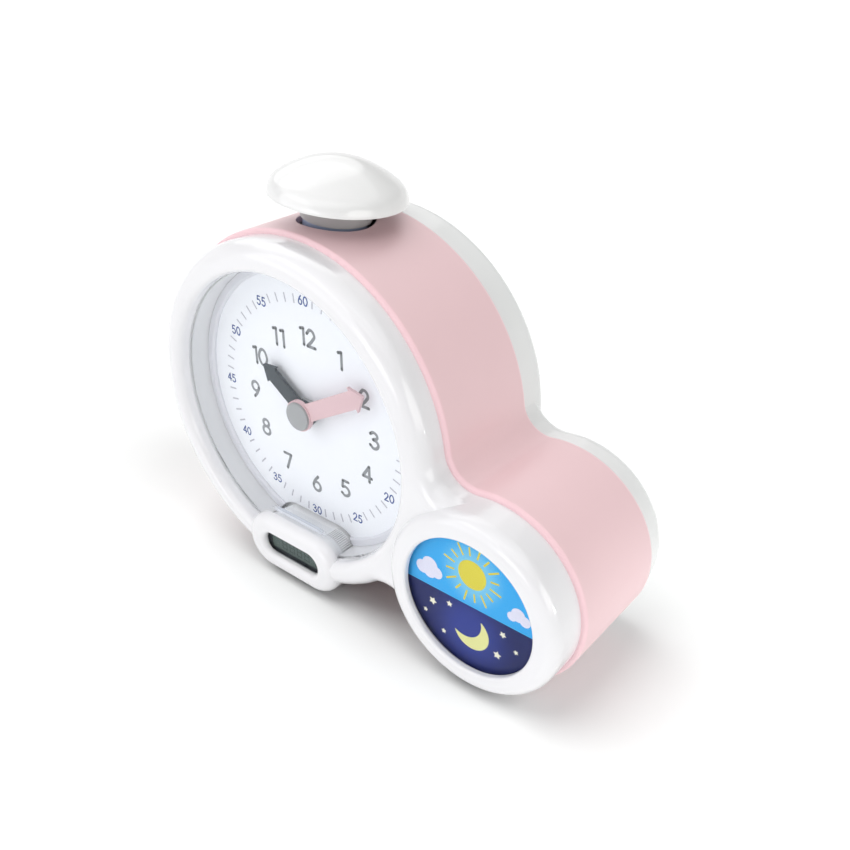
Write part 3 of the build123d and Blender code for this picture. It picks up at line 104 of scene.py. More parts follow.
# %% Shader maths
class Value:
    """One shader value. Arithmetic on it adds Math nodes to its material."""

    def __init__(self, finish, socket):
        self.finish = finish
        self.socket = socket

    def math(self, operation, *others):
        sockets = dict(enumerate((self, *others)))
        return self.finish.node("ShaderNodeMath", {"operation": operation}, sockets)

    def __add__(self, other):
        return self.math("ADD", other)

    def __mul__(self, other):
        return self.math("MULTIPLY", other)

    def __sub__(self, other):
        return self.math("SUBTRACT", other)

    def __rsub__(self, other):
        return self.finish.node("ShaderNodeMath", {"operation": "SUBTRACT"}, {0: other, 1: self})

    def __truediv__(self, other):
        return self.math("DIVIDE", other)

    __radd__ = __add__
    __rmul__ = __mul__

    def between(self, low, high):
        """0 below low, 1 above high, and a smooth step between them."""
        settings = {"interpolation_type": "SMOOTHSTEP"}
        sockets = {"Value": self, "From Min": low, "From Max": high}
        return self.finish.node("ShaderNodeMapRange", settings, sockets)

    def below(self, low, high):
        """1 below low, 0 above high, and a smooth step between them."""
        return 1.0 - self.between(low, high)


print("a Value knows", [word for word in vars(Value) if not word.startswith("__")])

# %% [markdown]
# `Finish` makes one material and adds any node to it by its type, its settings and the values
# or links of its sockets. The few nodes that every finish of this clock needs have a method of
# their own: noise in the piece's own coordinates, a mix of two colours, a bump and the shader.
# `place` measures from a centre of one's choice, so a pattern can be written in millimetres.

# %% One material
def rgba(colour):
    if isinstance(colour, Value):
        return colour
    return (*colour[:3], 1.0)


class Finish:
    """The nodes of one material, or of the world."""

    def __init__(self, name, owner=None):
        self.owner = owner or bpy.data.materials.new(name)
        self.owner.use_nodes = True
        self.tree = self.owner.node_tree
        self.tree.nodes.clear()

    def node(self, kind, settings=None, sockets=None, out=0):
        made = self.tree.nodes.new(kind)
        for key, value in (settings or {}).items():
            setattr(made, key, value)
        for key, value in (sockets or {}).items():
            if isinstance(value, Value):
                self.tree.links.new(value.socket, made.inputs[key])
            else:
                made.inputs[key].default_value = value
        return Value(self, made.outputs[out])

    def vector_math(self, operation, first, second, out=0):
        settings = {"operation": operation}
        return self.node("ShaderNodeVectorMath", settings, {0: first, 1: tuple(second)}, out)

    def place(self, centre=(0, 0, 0), size=(1, 1, 1)):
        """Object coordinates, measured from a centre and divided by a size."""
        here = self.node("ShaderNodeTexCoord", out="Object")
        return self.vector_math("DIVIDE", self.vector_math("SUBTRACT", here, centre), size)

    def split(self, vector):
        """The three parts of a vector: to the right, in depth, and up."""
        first = self.node("ShaderNodeSeparateXYZ", None, {0: vector})
        return [Value(self, socket) for socket in first.socket.node.outputs]

    def noise(self, scale, detail=2.0, roughness=0.5, where=None):
        sockets = {"Scale": scale, "Detail": detail, "Roughness": roughness}
        sockets["Vector"] = where or self.place()
        return self.node("ShaderNodeTexNoise", None, sockets)

    def mix(self, share, first, second):
        settings = {"data_type": "RGBA"}
        sockets = {"Factor": share, 6: rgba(first), 7: rgba(second)}
        return self.node("ShaderNodeMix", settings, sockets, out=2)

    def bump(self, height, distance):
        sockets = {"Height": height, "Distance": distance, "Strength": 1.0}
        return self.node("ShaderNodeBump", None, sockets)

    def principled(self, **sockets):
        named = {key.replace("_", " "): value for key, value in sockets.items()}
        if not isinstance(named["Base Color"], Value):
            named["Base Color"] = rgba(named["Base Color"])
        return self.node("ShaderNodeBsdfPrincipled", None, named)

    def show(self, shader, output="ShaderNodeOutputMaterial"):
        shown = self.tree.nodes.new(output)
        self.tree.links.new(shader.socket, shown.inputs["Surface"])
        return self.owner


print("a Finish knows", [word for word in vars(Finish) if not word.startswith("__")])

# %% [markdown]
# ## Moulded plastic
# Nearly the whole clock is moulded plastic. One flat colour with a shine would look like a
# computer's idea of it. A real moulding is never that even: the pigment drifts a little, the
# skin has a faint orange peel that breaks up the highlights, and handling leaves patches that
# are slightly duller. So one recipe makes all of that from noise, and other numbers turn it
# into the gloss white frame, the satin band or a plain inner part. A clear coat gives the
# sharp reflections of a polished mould.

# %% Moulded plastic
def shade(colour, factor):
    return [min(1.0, channel * factor) for channel in colour]


def drifting(finish, colour, scale, drift):
    """A colour that is a little lighter here and a little darker there."""
    share = finish.noise(scale, 3).between(0.3, 0.7)
    return finish.mix(share, shade(colour, 1 - drift), shade(colour, 1 + drift))


def moulded(name, colour, roughness, drift=0.02, smudge=0.06, coat=0.0, tint=None):
    """Smooth plastic. tint(finish, tone) may change its colour over the piece."""
    finish = Finish(name)
    tone = drifting(finish, colour, 14, drift)
    if tint:
        tone = tint(finish, tone)
    handled = finish.noise(45, 4, 0.6).between(0.5, 0.75)
    peel = finish.noise(700, 2) + finish.noise(120, 1) * 2.0
    shader = finish.principled(
        Base_Color=tone, Roughness=handled * smudge + roughness,
        Normal=finish.bump(peel, 0.00002), Coat_Weight=coat, Coat_Roughness=0.04,
    )
    return finish.show(shader)


frame_white = moulded("frame_white", (0.79, 0.785, 0.80), 0.18, coat=0.6)
rear_white = moulded("rear_white", (0.79, 0.80, 0.795), 0.20, coat=0.4)
cap_white = moulded("cap_white", (0.78, 0.78, 0.775), 0.14, coat=0.7)
print("white mouldings:", frame_white.name, rear_white.name, cap_white.name)

# %% [markdown]
# ## The coloured band
# The band is a wide pink strip that wraps the clock between its front frame and its rear shell.
# It is satin, not glossy. Along its two rounded edges a lighter, purer pink is painted in as a
# highlight, where those edges catch the light. That could be two more strips of their own. It is
# one moulding in reality, so the material changes its colour by how far a point stands out of the
# dial.

# %% The band
def out_of_dial(finish):
    """Millimetres that a point stands out of the dial's face."""
    _, depth, _ = finish.split(finish.place())
    return (DIAL.y - depth) * (1 / MM)


def band_edges(finish, tone):
    out = out_of_dial(finish)
    front_lip_highlight = out.between(2.4, 3.4)
    rear_lip_highlight = out.below(-44.2, -43.4)
    # painted highlight: a lighter, purer pink along the band's front and rear edges
    tone = finish.mix(front_lip_highlight * 0.8, tone, (0.88, 0.60, 0.64))
    return finish.mix(rear_lip_highlight * 0.7, tone, (0.92, 0.70, 0.73))


band_pink = moulded(
    "band_pink", (0.82, 0.585, 0.605), 0.38, drift=0.015, smudge=0.08, tint=band_edges
)
print("band:", band_pink.name)

# %% [markdown]
# ## The hump behind the display
# Behind its pod, the display sits in a hump of white plastic that stands on the dial. The hump is
# thicker where it meets the dial, and it has twelve fine ribs round its right end. The ribs are
# half a millimetre wide. Their shape is in the solid. Here painted shade darkens the ribbed end, a
# painted highlight lightens each crest, and another painted highlight runs along the hump's edge
# next to the dial. The angle round the end of the hump, counted in ribs, tells crest from groove.

# %% The hump
RIBS, RIB_PITCH = 12, radians(4.8)
RIB_CENTRE, RIB_FIRST = 12.75, radians(88)


def from_pod(finish):
    """Millimetres to the right of the pod's middle, and up from it."""
    right, _, up = finish.split(finish.place(on_dial(*POD), (MM, MM, MM)))
    return right, up


def hump_shading(finish, tone):
    out = out_of_dial(finish)
    right, up = from_pod(finish)
    turn = up.math("ARCTAN2", right - RIB_CENTRE)
    rib = (RIB_FIRST - turn) / RIB_PITCH + 0.5
    ribbed = rib.between(0.0, 0.1) * rib.below(RIBS - 0.1, RIBS) * out.below(7.0, 7.4)
    from_crest = (rib.math("FRACT") - 0.5).math("ABSOLUTE")
    crest_highlight = ribbed * from_crest.below(0.18, 0.32)
    # painted shade: the ribbed end of the hump is darker between the crests
    tone = finish.mix(ribbed * 0.5, tone, (0.56, 0.57, 0.58))
    # painted highlight: paler on each rib crest and along the edge next to the dial
    pale = out.below(1.6, 3.4).math("MAXIMUM", crest_highlight)
    return finish.mix(pale * 0.9, tone, (0.93, 0.93, 0.93))


hump_white = moulded("hump_white", (0.80, 0.81, 0.82), 0.18, coat=0.5, tint=hump_shading)
print("hump:", hump_white.name, "with", RIBS, "ribs")

# %% [markdown]
# ## Clear covers
# The lens over the dial, the window of the small display and the cover of the picture are clear
# acrylic. A glass shader would bend the light through them, which takes many more samples and
# hardly shifts what is behind such thin sheets. So each is a mix of see-through and mirror. The
# share of mirror grows towards grazing angles by Schlick's rule, from Layer Weight's Facing,
# which is the same for both sides of the sheet. A trace of wiped dust makes the mirror uneven.

# %% Clear acrylic
HEAD_ON = 0.012                 # share of light that a coated cover mirrors, seen straight on


def clear(name, tint, haze=0.0, milky_and_edge_highlight=None):
    """Thin acrylic. The last argument may say where a painted highlight of its cut edge shows as a
    pale strip.
    """
    finish = Finish(name)
    through = finish.node("ShaderNodeBsdfTransparent", None, {"Color": rgba(tint)})
    wiped = finish.noise(60, 4, 0.6).between(0.45, 0.8)
    sockets = {"Color": (1, 1, 1, 1), "Roughness": wiped * 0.05 + 0.03}
    mirror = finish.node("ShaderNodeBsdfGlossy", None, sockets)
    slant = finish.node("ShaderNodeLayerWeight", None, {"Blend": 0.5}, out="Facing")
    share = slant.math("POWER", 5.0) * 0.7 + (HEAD_ON + haze)
    shader = finish.node("ShaderNodeMixShader", None, {0: share, 1: through, 2: mirror})
    if milky_and_edge_highlight:
        # painted highlight: an opaque pale strip stands for the light caught by the lens's cut
        # edge
        edge = finish.principled(Base_Color=(0.80, 0.83, 0.89), Roughness=0.25)
        sockets = {0: milky_and_edge_highlight(finish), 1: shader, 2: edge}
        shader = finish.node("ShaderNodeMixShader", None, sockets)
    return finish.show(shader)


cover_clear = clear("cover_clear", (0.985, 0.99, 0.995), -0.005)
window_clear = clear("window_clear", (0.93, 0.95, 0.95))
print("covers:", cover_clear.name, window_clear.name)

# %% [markdown]
# The lens is cut out round the display's pod. Along the top of the pod, a pale opaque strip is
# painted on the lens as the highlight that its polished cut edge catches. The strip is two
# millimetres wide. It is found by the distance from the pod's outline, which is a straight run
# with a half circle at each end.

# %% The lens and its cut edge
POD_FLAT, POD_HALF = 13.4, 13.9    # half of the pod's straight run, and half its height, in mm


def round_the_pod(finish):
    right, up = from_pod(finish)
    past_flat = (right.math("ABSOLUTE") - POD_FLAT).math("MAXIMUM", 0.0)
    from_edge = (past_flat * past_flat + up * up).math("SQRT") - POD_HALF
    along_top = up.between(6.0, 9.0) * right.between(-17.0, -12.0) * right.below(11.0, 17.0)
    # painted highlight only along the top of the cutout, where the light falls
    return from_edge.below(1.5, 1.9) * along_top * 0.85


lens_clear = clear("lens_clear", (0.985, 0.99, 0.995), milky_and_edge_highlight=round_the_pod)
print("lens:", lens_clear.name)

# %% [markdown]
# ## The dial
# The dial is a printed white card with a faint blue cast in a grey tray. Card scatters light
# evenly, so its specular level is low, and its fibres are a very fine noise. The tray's wall is
# a paler, slightly translucent plastic, and it carries a stepped ring that frames the card.
# The cone of the loudspeaker is card as well, in near black.

# %% Dial card and tray
def card(name, colour):
    finish = Finish(name)
    fibre = finish.noise(1800, 3, 0.7)
    tone = finish.mix(fibre.between(0.35, 0.65), shade(colour, 0.985), colour)
    shader = finish.principled(
        Base_Color=tone, Roughness=0.55, Normal=finish.bump(fibre, 0.00001),
        Specular_IOR_Level=0.2,
    )
    return finish.show(shader)


dial_card = card("dial_card", (0.93, 0.94, 0.97))
cone_paper = card("cone_paper", (0.05, 0.05, 0.055))
tray_grey = moulded("tray_grey", (0.78, 0.78, 0.785), 0.28, smudge=0.1)
ring_pale = moulded("ring_pale", (0.74, 0.74, 0.78), 0.30)
print("dial:", dial_card.name, tray_grey.name, ring_pale.name)

# %% [markdown]
# ## Etched plastic
# The hands, the knob, the gears and the inner boxes aren't glossy: their moulds were etched to a
# fine grain. Real grain could be displaced, but at a few hundredths of a millimetre a bump from
# a very small noise does the same, and the same noise makes the roughness uneven.

# %% Etched plastic
def grained(name, colour, roughness):
    finish = Finish(name)
    pits = finish.noise(2600, 3, 0.6)
    shader = finish.principled(
        Base_Color=drifting(finish, colour, 20, 0.03), Roughness=pits * 0.12 + roughness,
        Normal=finish.bump(pits, 0.00004),
    )
    return finish.show(shader)


slate = grained("slate", (0.040, 0.052, 0.063), 0.50)
hand_pink = grained("hand_pink", (0.72, 0.50, 0.52), 0.42)
hub_grey = grained("hub_grey", (0.35, 0.355, 0.36), 0.38)
knob_grey = grained("knob_grey", (0.55, 0.56, 0.58), 0.4)
black_plastic = grained("black_plastic", (0.035, 0.035, 0.04), 0.42)
box_white = grained("box_white", (0.80, 0.80, 0.80), 0.45)
acetal = grained("acetal", (0.82, 0.80, 0.72), 0.35)
skirt_grey = moulded("skirt_grey", (0.40, 0.39, 0.39), 0.32)
guide_blue = moulded("guide_blue", (0.40, 0.47, 0.64), 0.22)
print("hands:", slate.name, hand_pink.name, "button:", skirt_grey.name, guide_blue.name)

# %% [markdown]
# ## Rubber and metal
# The feet and keys are rubber, dull and a little dusty in its pores. Screws, contacts and the
# spring are plated steel with fine brushing, which is noise stretched twelvefold along one axis.
# The coil of the movement is enamelled copper wire, made by the same recipe in another colour.

# %% Rubber and metal
def rubber(name, colour):
    finish = Finish(name)
    dust = finish.noise(300, 4, 0.7).between(0.45, 0.7)
    tone = finish.mix(dust * 0.35, colour, shade(colour, 1.3))
    pores = finish.bump(finish.noise(2400, 3), 0.00004)
    return finish.show(finish.principled(Base_Color=tone, Roughness=0.62, Normal=pores))


def plated(name, colour, roughness=0.28):
    finish = Finish(name)
    brushed = finish.noise(900, 3, 0.6, finish.place(size=(1, 12, 1)))
    tone = finish.mix(brushed.between(0.3, 0.7), shade(colour, 0.9), colour)
    shader = finish.principled(
        Base_Color=tone, Metallic=1.0, Roughness=brushed * 0.15 + roughness,
        Normal=finish.bump(brushed, 0.000008),
    )
    return finish.show(shader)


foot_rubber = rubber("foot_rubber", (0.55, 0.55, 0.56))
key_rubber = rubber("key_rubber", (0.40, 0.41, 0.45))
steel = plated("steel", (0.62, 0.62, 0.64))
enamel_wire = plated("enamel_wire", (0.62, 0.28, 0.12), 0.3)
print("rubber and metal:", foot_rubber.name, key_rubber.name, steel.name, enamel_wire.name)

# %% [markdown]
# ## Circuit boards
# A circuit board is green lacquer over copper tracks, and the lacquer looks paler where there is
# copper under it. Tracks could be drawn one by one, but these boards are inside. The edges of
# square cells, from a Voronoi texture with the Manhattan distance, run in the same straight
# lines and corners as tracks do.

# %% Circuit boards
def circuit_board(name):
    finish = Finish(name)
    settings = {"feature": "F1", "distance": "MANHATTAN"}
    sockets = {"Vector": finish.place(), "Scale": 320.0}
    tracks = finish.node("ShaderNodeTexVoronoi", settings, sockets)
    copper = tracks.between(0.42, 0.46) * 0.7
    shader = finish.principled(
        Base_Color=finish.mix(copper, (0.02, 0.16, 0.06), (0.05, 0.30, 0.12)),
        Roughness=0.32, Normal=finish.bump(copper, 0.00003), Coat_Weight=0.4,
    )
    return finish.show(shader)


board_green = circuit_board("board_green")
print("boards:", board_green.name)

# %% [markdown]
# ## The small display
# The display under the dial is a liquid-crystal panel: grey-green glass in a dark frame, with a
# near-black painted shade near the glass's edges, where that frame shades it. It is off, but the
# eights of its four digits still show as slightly darker bars, as on every such panel. They could
# be thin pieces in front of the glass, but the real ones are in it and have no thickness, so they
# are in the material. Each digit takes one width of `PITCH`, and inside it, posts and bars are
# masks of the distance from its middle.

# %% The display's glass
DIGITS_LEFT, PITCH = 9.2, 4.6      # where the four digits start, and how wide each is, in mm


def crystal_panel(name):
    finish = Finish(name)
    right, up = from_pod(finish)
    sideways = right.math("ABSOLUTE")
    upright = up.math("ABSOLUTE")
    glass = sideways.below(14.4, 15.0) * upright.below(3.6, 4.3)
    in_digit = ((right + DIGITS_LEFT) / PITCH).math("FRACT")
    across = (in_digit - 0.5).math("ABSOLUTE")
    posts = across.between(0.20, 0.22) * across.below(0.36, 0.38)
    outer_bars = (upright - 2.4).math("ABSOLUTE").below(0.25, 0.4)
    bars = outer_bars.math("MAXIMUM", upright.below(0.25, 0.4)) * across.below(0.36, 0.38)
    eights = posts.math("MAXIMUM", bars) * sideways.below(9.1, 9.3) * upright.below(2.6, 2.8)
    tone = finish.mix(finish.noise(90, 2), (0.085, 0.120, 0.105), (0.065, 0.095, 0.088))
    tone = finish.mix(eights * 0.75, tone, (0.020, 0.030, 0.034))
    # painted shade: near black round the edges of the glass, where the frame shades it
    tone = finish.mix(glass, (0.008, 0.012, 0.020), tone)
    return finish.show(
        finish.principled(Base_Color=tone, Roughness=0.3, Specular_IOR_Level=0.15)
    )


panel_lcd = crystal_panel("panel_lcd")
print("display:", panel_lcd.name)

# %% [markdown]
# ## Lamps and cells
# The lamps of the night light are small lenses of milky resin, warm for the day and cool for
# the night. They are off, so they have a colour and no glow. The cells have a plain dark
# wrapped label and bare metal at both ends, and one mask along their length switches both the
# colour and the metal.

# %% Lamps and cells
def lamp_resin(name, colour):
    finish = Finish(name)
    milky_and_edge_highlight = finish.noise(400, 2)
    tone = finish.mix(milky_and_edge_highlight.between(0.3, 0.7), colour, shade(colour, 0.93))
    return finish.show(finish.principled(Base_Color=tone, Roughness=0.25, Coat_Weight=0.3))


def cell_wrap(name):
    finish = Finish(name)
    along, _, _ = finish.split(finish.place(DIAL))
    ends = along.math("ABSOLUTE").between(0.0240, 0.0242)
    tone = finish.mix(ends, (0.10, 0.12, 0.15), (0.60, 0.60, 0.62))
    return finish.show(finish.principled(Base_Color=tone, Metallic=ends * 0.9, Roughness=0.32))


day_lamp = lamp_resin("day_lamp", (0.95, 0.88, 0.62))
night_lamp = lamp_resin("night_lamp", (0.72, 0.80, 0.96))
cells = cell_wrap("cells")
print("lamps and cells:", day_lamp.name, night_lamp.name, cells.name)

# %% [markdown]
# ## Which piece gets which finish
# The solids keep their shapes, so dressing them is only a matter of putting one material in
# each object's slots. A table says it all at a glance: on the left a finish, on the right the
# pieces that are made of it. The sheet of the picture is left bare here and gets its own sky
# further down.

# %% Dress the solids
DRESS = {
    frame_white: ["front_frame"],
    hump_white: ["display_housing"],
    rear_white: ["rear_shell", "battery_door"],
    cap_white: ["button_cap"],
    band_pink: ["side_band"],
    lens_clear: ["dial_lens"],
    cover_clear: ["picture_cover"],
    window_clear: ["display_window"],
    dial_card: ["dial_plate"],
    tray_grey: ["dial_tray"],
    ring_pale: ["dial_ring"],
    foot_rubber: ["rubber_feet"],
    key_rubber: ["key_alarm", "key_hour", "key_minute", "key_light"],
    steel: [
        "minute_arbor", "housing_screws", "door_screw", "plunger_clip", "return_spring",
        "stator", "contact_plates", "contact_springs",
    ],
    board_green: ["display_board", "light_board", "main_board"],
    black_plastic: [
        "movement_cover", "movement_case", "rotor", "button_switch", "board_parts",
        "key_switches", "slider_switch", "power_jack",
    ],
    box_white: ["light_box", "button_plunger"],
    acetal: ["centre_wheel", "hour_wheel", "minute_wheel", "drive_wheel"],
    enamel_wire: ["coil"],
    knob_grey: ["setting_knob", "sound_slider"],
    skirt_grey: ["button_skirt"],
    guide_blue: ["button_guide"],
    slate: ["hour_hand"],
    hand_pink: ["minute_hand"],
    hub_grey: ["hub_cap", "movement_nut"],
    panel_lcd: ["display_panel"],
    day_lamp: ["day_leds"],
    night_lamp: ["night_leds"],
    cells: ["aa_cells"],
    cone_paper: ["speaker"],
}


def dress(piece, material):
    piece.data.materials.clear()
    piece.data.materials.append(material)


dressed = set()
for material, names in DRESS.items():
    for name in names:
        dress(nodes[name], material)
        dressed.add(name)
print("still bare:", sorted(set(nodes) - dressed))

# %% [markdown]
# ## From a mesh to a piece
# Every new piece goes through the same last steps. Its place is in its mesh, and its object
# stays at the origin, as the solids' objects do, so that a pattern in the piece's own
# coordinates doesn't slide. It has to ride on one of the clock's bodies, or it would stay
# behind when the clock moves.

# %% From a mesh to a piece
def finish_piece(name, bm, material, body="case"):
    """Make an object of a bmesh, with its place in its mesh, and let it ride on a body."""
    mesh = bpy.data.meshes.new(name)
    bm.to_mesh(mesh)
    bm.free()
    mesh.materials.append(material)
    piece = bpy.data.objects.new(name, mesh)
    bpy.context.scene.collection.objects.link(piece)
    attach(piece, body)
    print(f"{name}: {len(mesh.polygons)} faces on {body}")
    return piece


# %% [markdown]
# ## Flat printed shapes
# Ink has no thickness that one can see, so it could be part of the card's material. But numbers
# are hard to write with masks, and flat shapes are easy to draw. Everything printed on the
# clock is therefore a flat shape a few hundredths of a millimetre in front of its card. It is
# drawn on XY in millimetres with bmesh operators, and one turn stands it up on the dial.

# %% Flat shapes
def print_at(right, up, out):
    """Takes a flat shape in millimetres to its place on the dial."""
    return Matrix.Translation(on_dial(right, up, out)) @ STAND_UP @ Matrix.Scale(MM, 4)


def turned(angle):
    """A turn in the plane of a flat shape."""
    return Matrix.Rotation(angle, 4, "Z")


def add_disc(bm, radius, matrix, segments=48):
    made = bmesh.ops.create_circle(
        bm, cap_ends=True, segments=segments, radius=radius, matrix=matrix
    )
    return made["verts"]


def add_bar(bm, length, width, matrix):
    """A rectangle with its length along X."""
    stretch = matrix @ Matrix.Diagonal((length, width, 1, 1))
    bmesh.ops.create_grid(bm, x_segments=1, y_segments=1, size=0.5, matrix=stretch)


sample = bmesh.new()
add_disc(sample, 1.0, print_at(0, 0, 0))
print("a disc on the dial has", len(sample.verts), "corners, the first at", sample.verts[:][0].co)
sample.free()

# %% [markdown]
# ## Inks
# The inks differ in colour only: grey for the hours, navy for the minutes, and a pale violet
# grey for the ticks. Each is dull and slightly speckled, as ink on card is.

# %% Inks
INK = 0.03                      # how far a print stands in front of its card, in mm


def ink(name, colour):
    finish = Finish(name)
    speckle = finish.noise(2200, 3, 0.6).between(0.3, 0.7)
    tone = finish.mix(speckle, colour, shade(colour, 1.12))
    return finish.show(
        finish.principled(Base_Color=tone, Roughness=0.5, Specular_IOR_Level=0.15)
    )


grey_ink = ink("grey_ink", (0.27, 0.28, 0.29))
navy_ink = ink("navy_ink", (0.03, 0.07, 0.27))
tick_ink = ink("tick_ink", (0.50, 0.49, 0.54))
print("inks:", grey_ink.name, navy_ink.name, tick_ink.name)

# %% [markdown]
# ## Numbers
# The numbers of a child's clock look as if they were drawn with a round pen of even width. A
# font from Blender would have thick and thin strokes, and another computer may not have it. So
# each digit is a few strokes through a handful of points, in a box one unit high. A third
# number marks a sharp corner of the stroke, and everywhere else it curves.

# %% Strokes of the digits
# each stroke: is it closed, then its points (x, y), with 0 added at a corner
DIGITS = {
    "0": [
        (True, [(0.27, 1.0), (0.03, 0.70), (0.03, 0.30), (0.27, 0.0), (0.51, 0.30), (0.51, 0.70)]),
    ],
    "1": [(False, [(0.10, 0.93, 0), (0.30, 1.0, 0), (0.30, 0.0, 0)])],
    "2": [
        (False, [(0.03, 0.74), (0.27, 1.0), (0.50, 0.73), (0.38, 0.44), (0.03, 0.0, 0),
                 (0.53, 0.0, 0)]),
    ],
    "3": [
        (False, [(0.04, 0.86), (0.25, 1.0), (0.46, 0.78), (0.20, 0.55, 0)]),
        (False, [(0.20, 0.55, 0), (0.40, 0.50), (0.51, 0.27), (0.26, 0.0), (0.02, 0.17)]),
    ],
    "4": [(False, [(0.42, 0.0, 0), (0.42, 1.0, 0), (0.02, 0.28, 0), (0.56, 0.28, 0)])],
    "5": [
        (False, [(0.47, 1.0, 0), (0.12, 1.0, 0), (0.07, 0.56, 0)]),
        (False, [(0.07, 0.56, 0), (0.28, 0.62), (0.51, 0.32), (0.25, 0.0), (0.02, 0.14)]),
    ],
    "6": [
        (True, [(0.27, 0.60), (0.03, 0.31), (0.27, 0.0), (0.51, 0.31)]),
        (False, [(0.38, 1.0, 0), (0.15, 0.66), (0.03, 0.31)]),
    ],
    "7": [(False, [(0.02, 1.0, 0), (0.50, 1.0, 0), (0.18, 0.0, 0)])],
    "8": [
        (True, [(0.27, 1.0), (0.07, 0.77), (0.27, 0.54), (0.47, 0.77)]),
        (True, [(0.27, 0.54), (0.02, 0.27), (0.27, 0.0), (0.52, 0.27)]),
    ],
    "9": [
        (True, [(0.27, 0.40), (0.51, 0.69), (0.27, 1.0), (0.03, 0.69)]),
        (False, [(0.16, 0.0, 0), (0.39, 0.34), (0.51, 0.69)]),
    ],
}
DIGIT_WIDE, ONE_WIDE = 0.54, 0.30
GAP = 0.22
print(len(DIGITS), "digits from", sum(len(strokes) for strokes in DIGITS.values()), "strokes")

# %% [markdown]
# A stroke becomes a ribbon in three steps. A Bezier curve goes through its points, extruding it
# gives it a width, and a tilt of a quarter turn lays the ribbon flat. At a sharp corner one
# ribbon would narrow, so a stroke is cut there in two that overlap.

# %% From a stroke to a ribbon
def ribbon(points, closed, width):
    """Mesh of a flat stroke on XY."""
    curve = bpy.data.curves.new("stroke", "CURVE")
    curve.dimensions = "3D"
    curve.twist_mode = "Z_UP"
    curve.resolution_u = 8
    curve.extrude = width / 2
    spline = curve.splines.new("BEZIER")
    spline.bezier_points.add(len(points) - 1)
    spline.use_cyclic_u = closed
    for knot, point in zip(spline.bezier_points, points):
        kind = "VECTOR" if len(point) == 3 else "AUTO"
        knot.co = (point[0], point[1], 0)
        knot.handle_left_type = kind
        knot.handle_right_type = kind
        knot.tilt = pi / 2
    holder = bpy.data.objects.new("stroke", curve)
    mesh = bpy.data.meshes.new_from_object(holder)
    bpy.data.objects.remove(holder)
    bpy.data.curves.remove(curve)
    return mesh


def between_corners(points):
    """Cuts a stroke at its sharp corners."""
    runs = [[points[0]]]
    for point in points[1:]:
        runs[-1].append(point)
        if len(point) == 3:
            runs.append([point])
    return [run for run in runs if len(run) > 1]


print("the digit 1 is cut into", len(between_corners(DIGITS["1"][0][1])), "runs")

# %% [markdown]
# `write` sets the digits of a number side by side. A disc at both ends of each open stroke makes
# its ends round, as a round pen does, and joins two runs at a corner. Shapes that overlap in
# the same plane would flicker, so each stroke lies a few thousandths further out than the last.

# %% From ribbons to a number
STROKE_STEP = 0.003             # how far each stroke lies in front of the one before, in mm


def write(bm, text, height, pen, wide, matrix):
    """Adds a number to a bmesh, centred on the origin of the matrix. Height and pen are in
    millimetres, and wide is how far the digits are stretched sideways."""
    steps = [(ONE_WIDE if digit == "1" else DIGIT_WIDE) * wide + GAP for digit in text]
    left = -(sum(steps) - GAP) / 2
    layer = 0.0
    for digit, step in zip(text, steps):
        for closed, points in DIGITS[digit]:
            points = [(x * wide, y, *corner) for x, y, *corner in points]
            for run in ([points] if closed else between_corners(points)):
                layer += STROKE_STEP
                shift = Matrix.Translation((left, -0.5, layer / height))
                to_place = matrix @ Matrix.Scale(height, 4) @ shift
                stroke = ribbon(run, closed, pen / height)
                stroke.transform(to_place)
                bm.from_mesh(stroke)
                bpy.data.meshes.remove(stroke)
                for x, y, *_ in [] if closed else (run[0], run[-1]):
                    end = to_place @ Matrix.Translation((x, y, 0))
                    add_disc(bm, pen / height / 2, end, 20)
        left += step


sample = bmesh.new()
write(sample, "12", 10, 1, 1, Matrix.Identity(4))
across = [corner.co.x for corner in sample.verts]
print("a 12 that is 10 mm high is", round(max(across) - min(across), 1), "mm wide")
sample.free()

# %% [markdown]
# ## Hours
# Twelve grey numbers stand on a circle. They could be turned with it, as on a tower clock, but
# a child reads them more easily when all of them are upright. The circle isn't quite centred on
# the hands: its middle lies a little below and to the right of them.

# %% Hour numbers
HOURS_R, HOURS_HIGH, HOURS_PEN, HOURS_WIDE = 34.7, 7.4, 1.4, 1.2
HOURS_MIDDLE = (1.0, -1.4)
hours = bmesh.new()
for hour in range(1, 13):
    turn = radians(hour * 30)
    right = HOURS_MIDDLE[0] + HOURS_R * sin(turn)
    up = HOURS_MIDDLE[1] + HOURS_R * cos(turn)
    write(hours, str(hour), HOURS_HIGH, HOURS_PEN, HOURS_WIDE, print_at(right, up, INK))
finish_piece("hour_numbers", hours, grey_ink)

# %% [markdown]
# ## Minutes
# Small blue numbers count the minutes in fives, and four ticks stand between two numbers. They
# share one circle, so one loop over sixty minutes makes both, each in a mesh of its own because
# the inks differ.

# %% Minute numbers and ticks
MINUTES_R, MINUTES_HIGH, MINUTES_PEN, MINUTES_WIDE = 49.5, 3.7, 0.6, 1.05
MINUTES_UP = -0.8
TICK_WIDE, TICK_HIGH = 0.7, 4.0
minutes = bmesh.new()
ticks = bmesh.new()
for minute in range(1, 61):
    turn = radians(minute * 6)
    spot = print_at(MINUTES_R * sin(turn), MINUTES_UP + MINUTES_R * cos(turn), INK)
    if minute % 5 == 0:
        write(minutes, str(minute), MINUTES_HIGH, MINUTES_PEN, MINUTES_WIDE, spot)
    else:
        add_bar(ticks, TICK_WIDE, TICK_HIGH, spot @ turned(-turn))
finish_piece("minute_numbers", minutes, navy_ink)
finish_piece("minute_ticks", ticks, tick_ink)

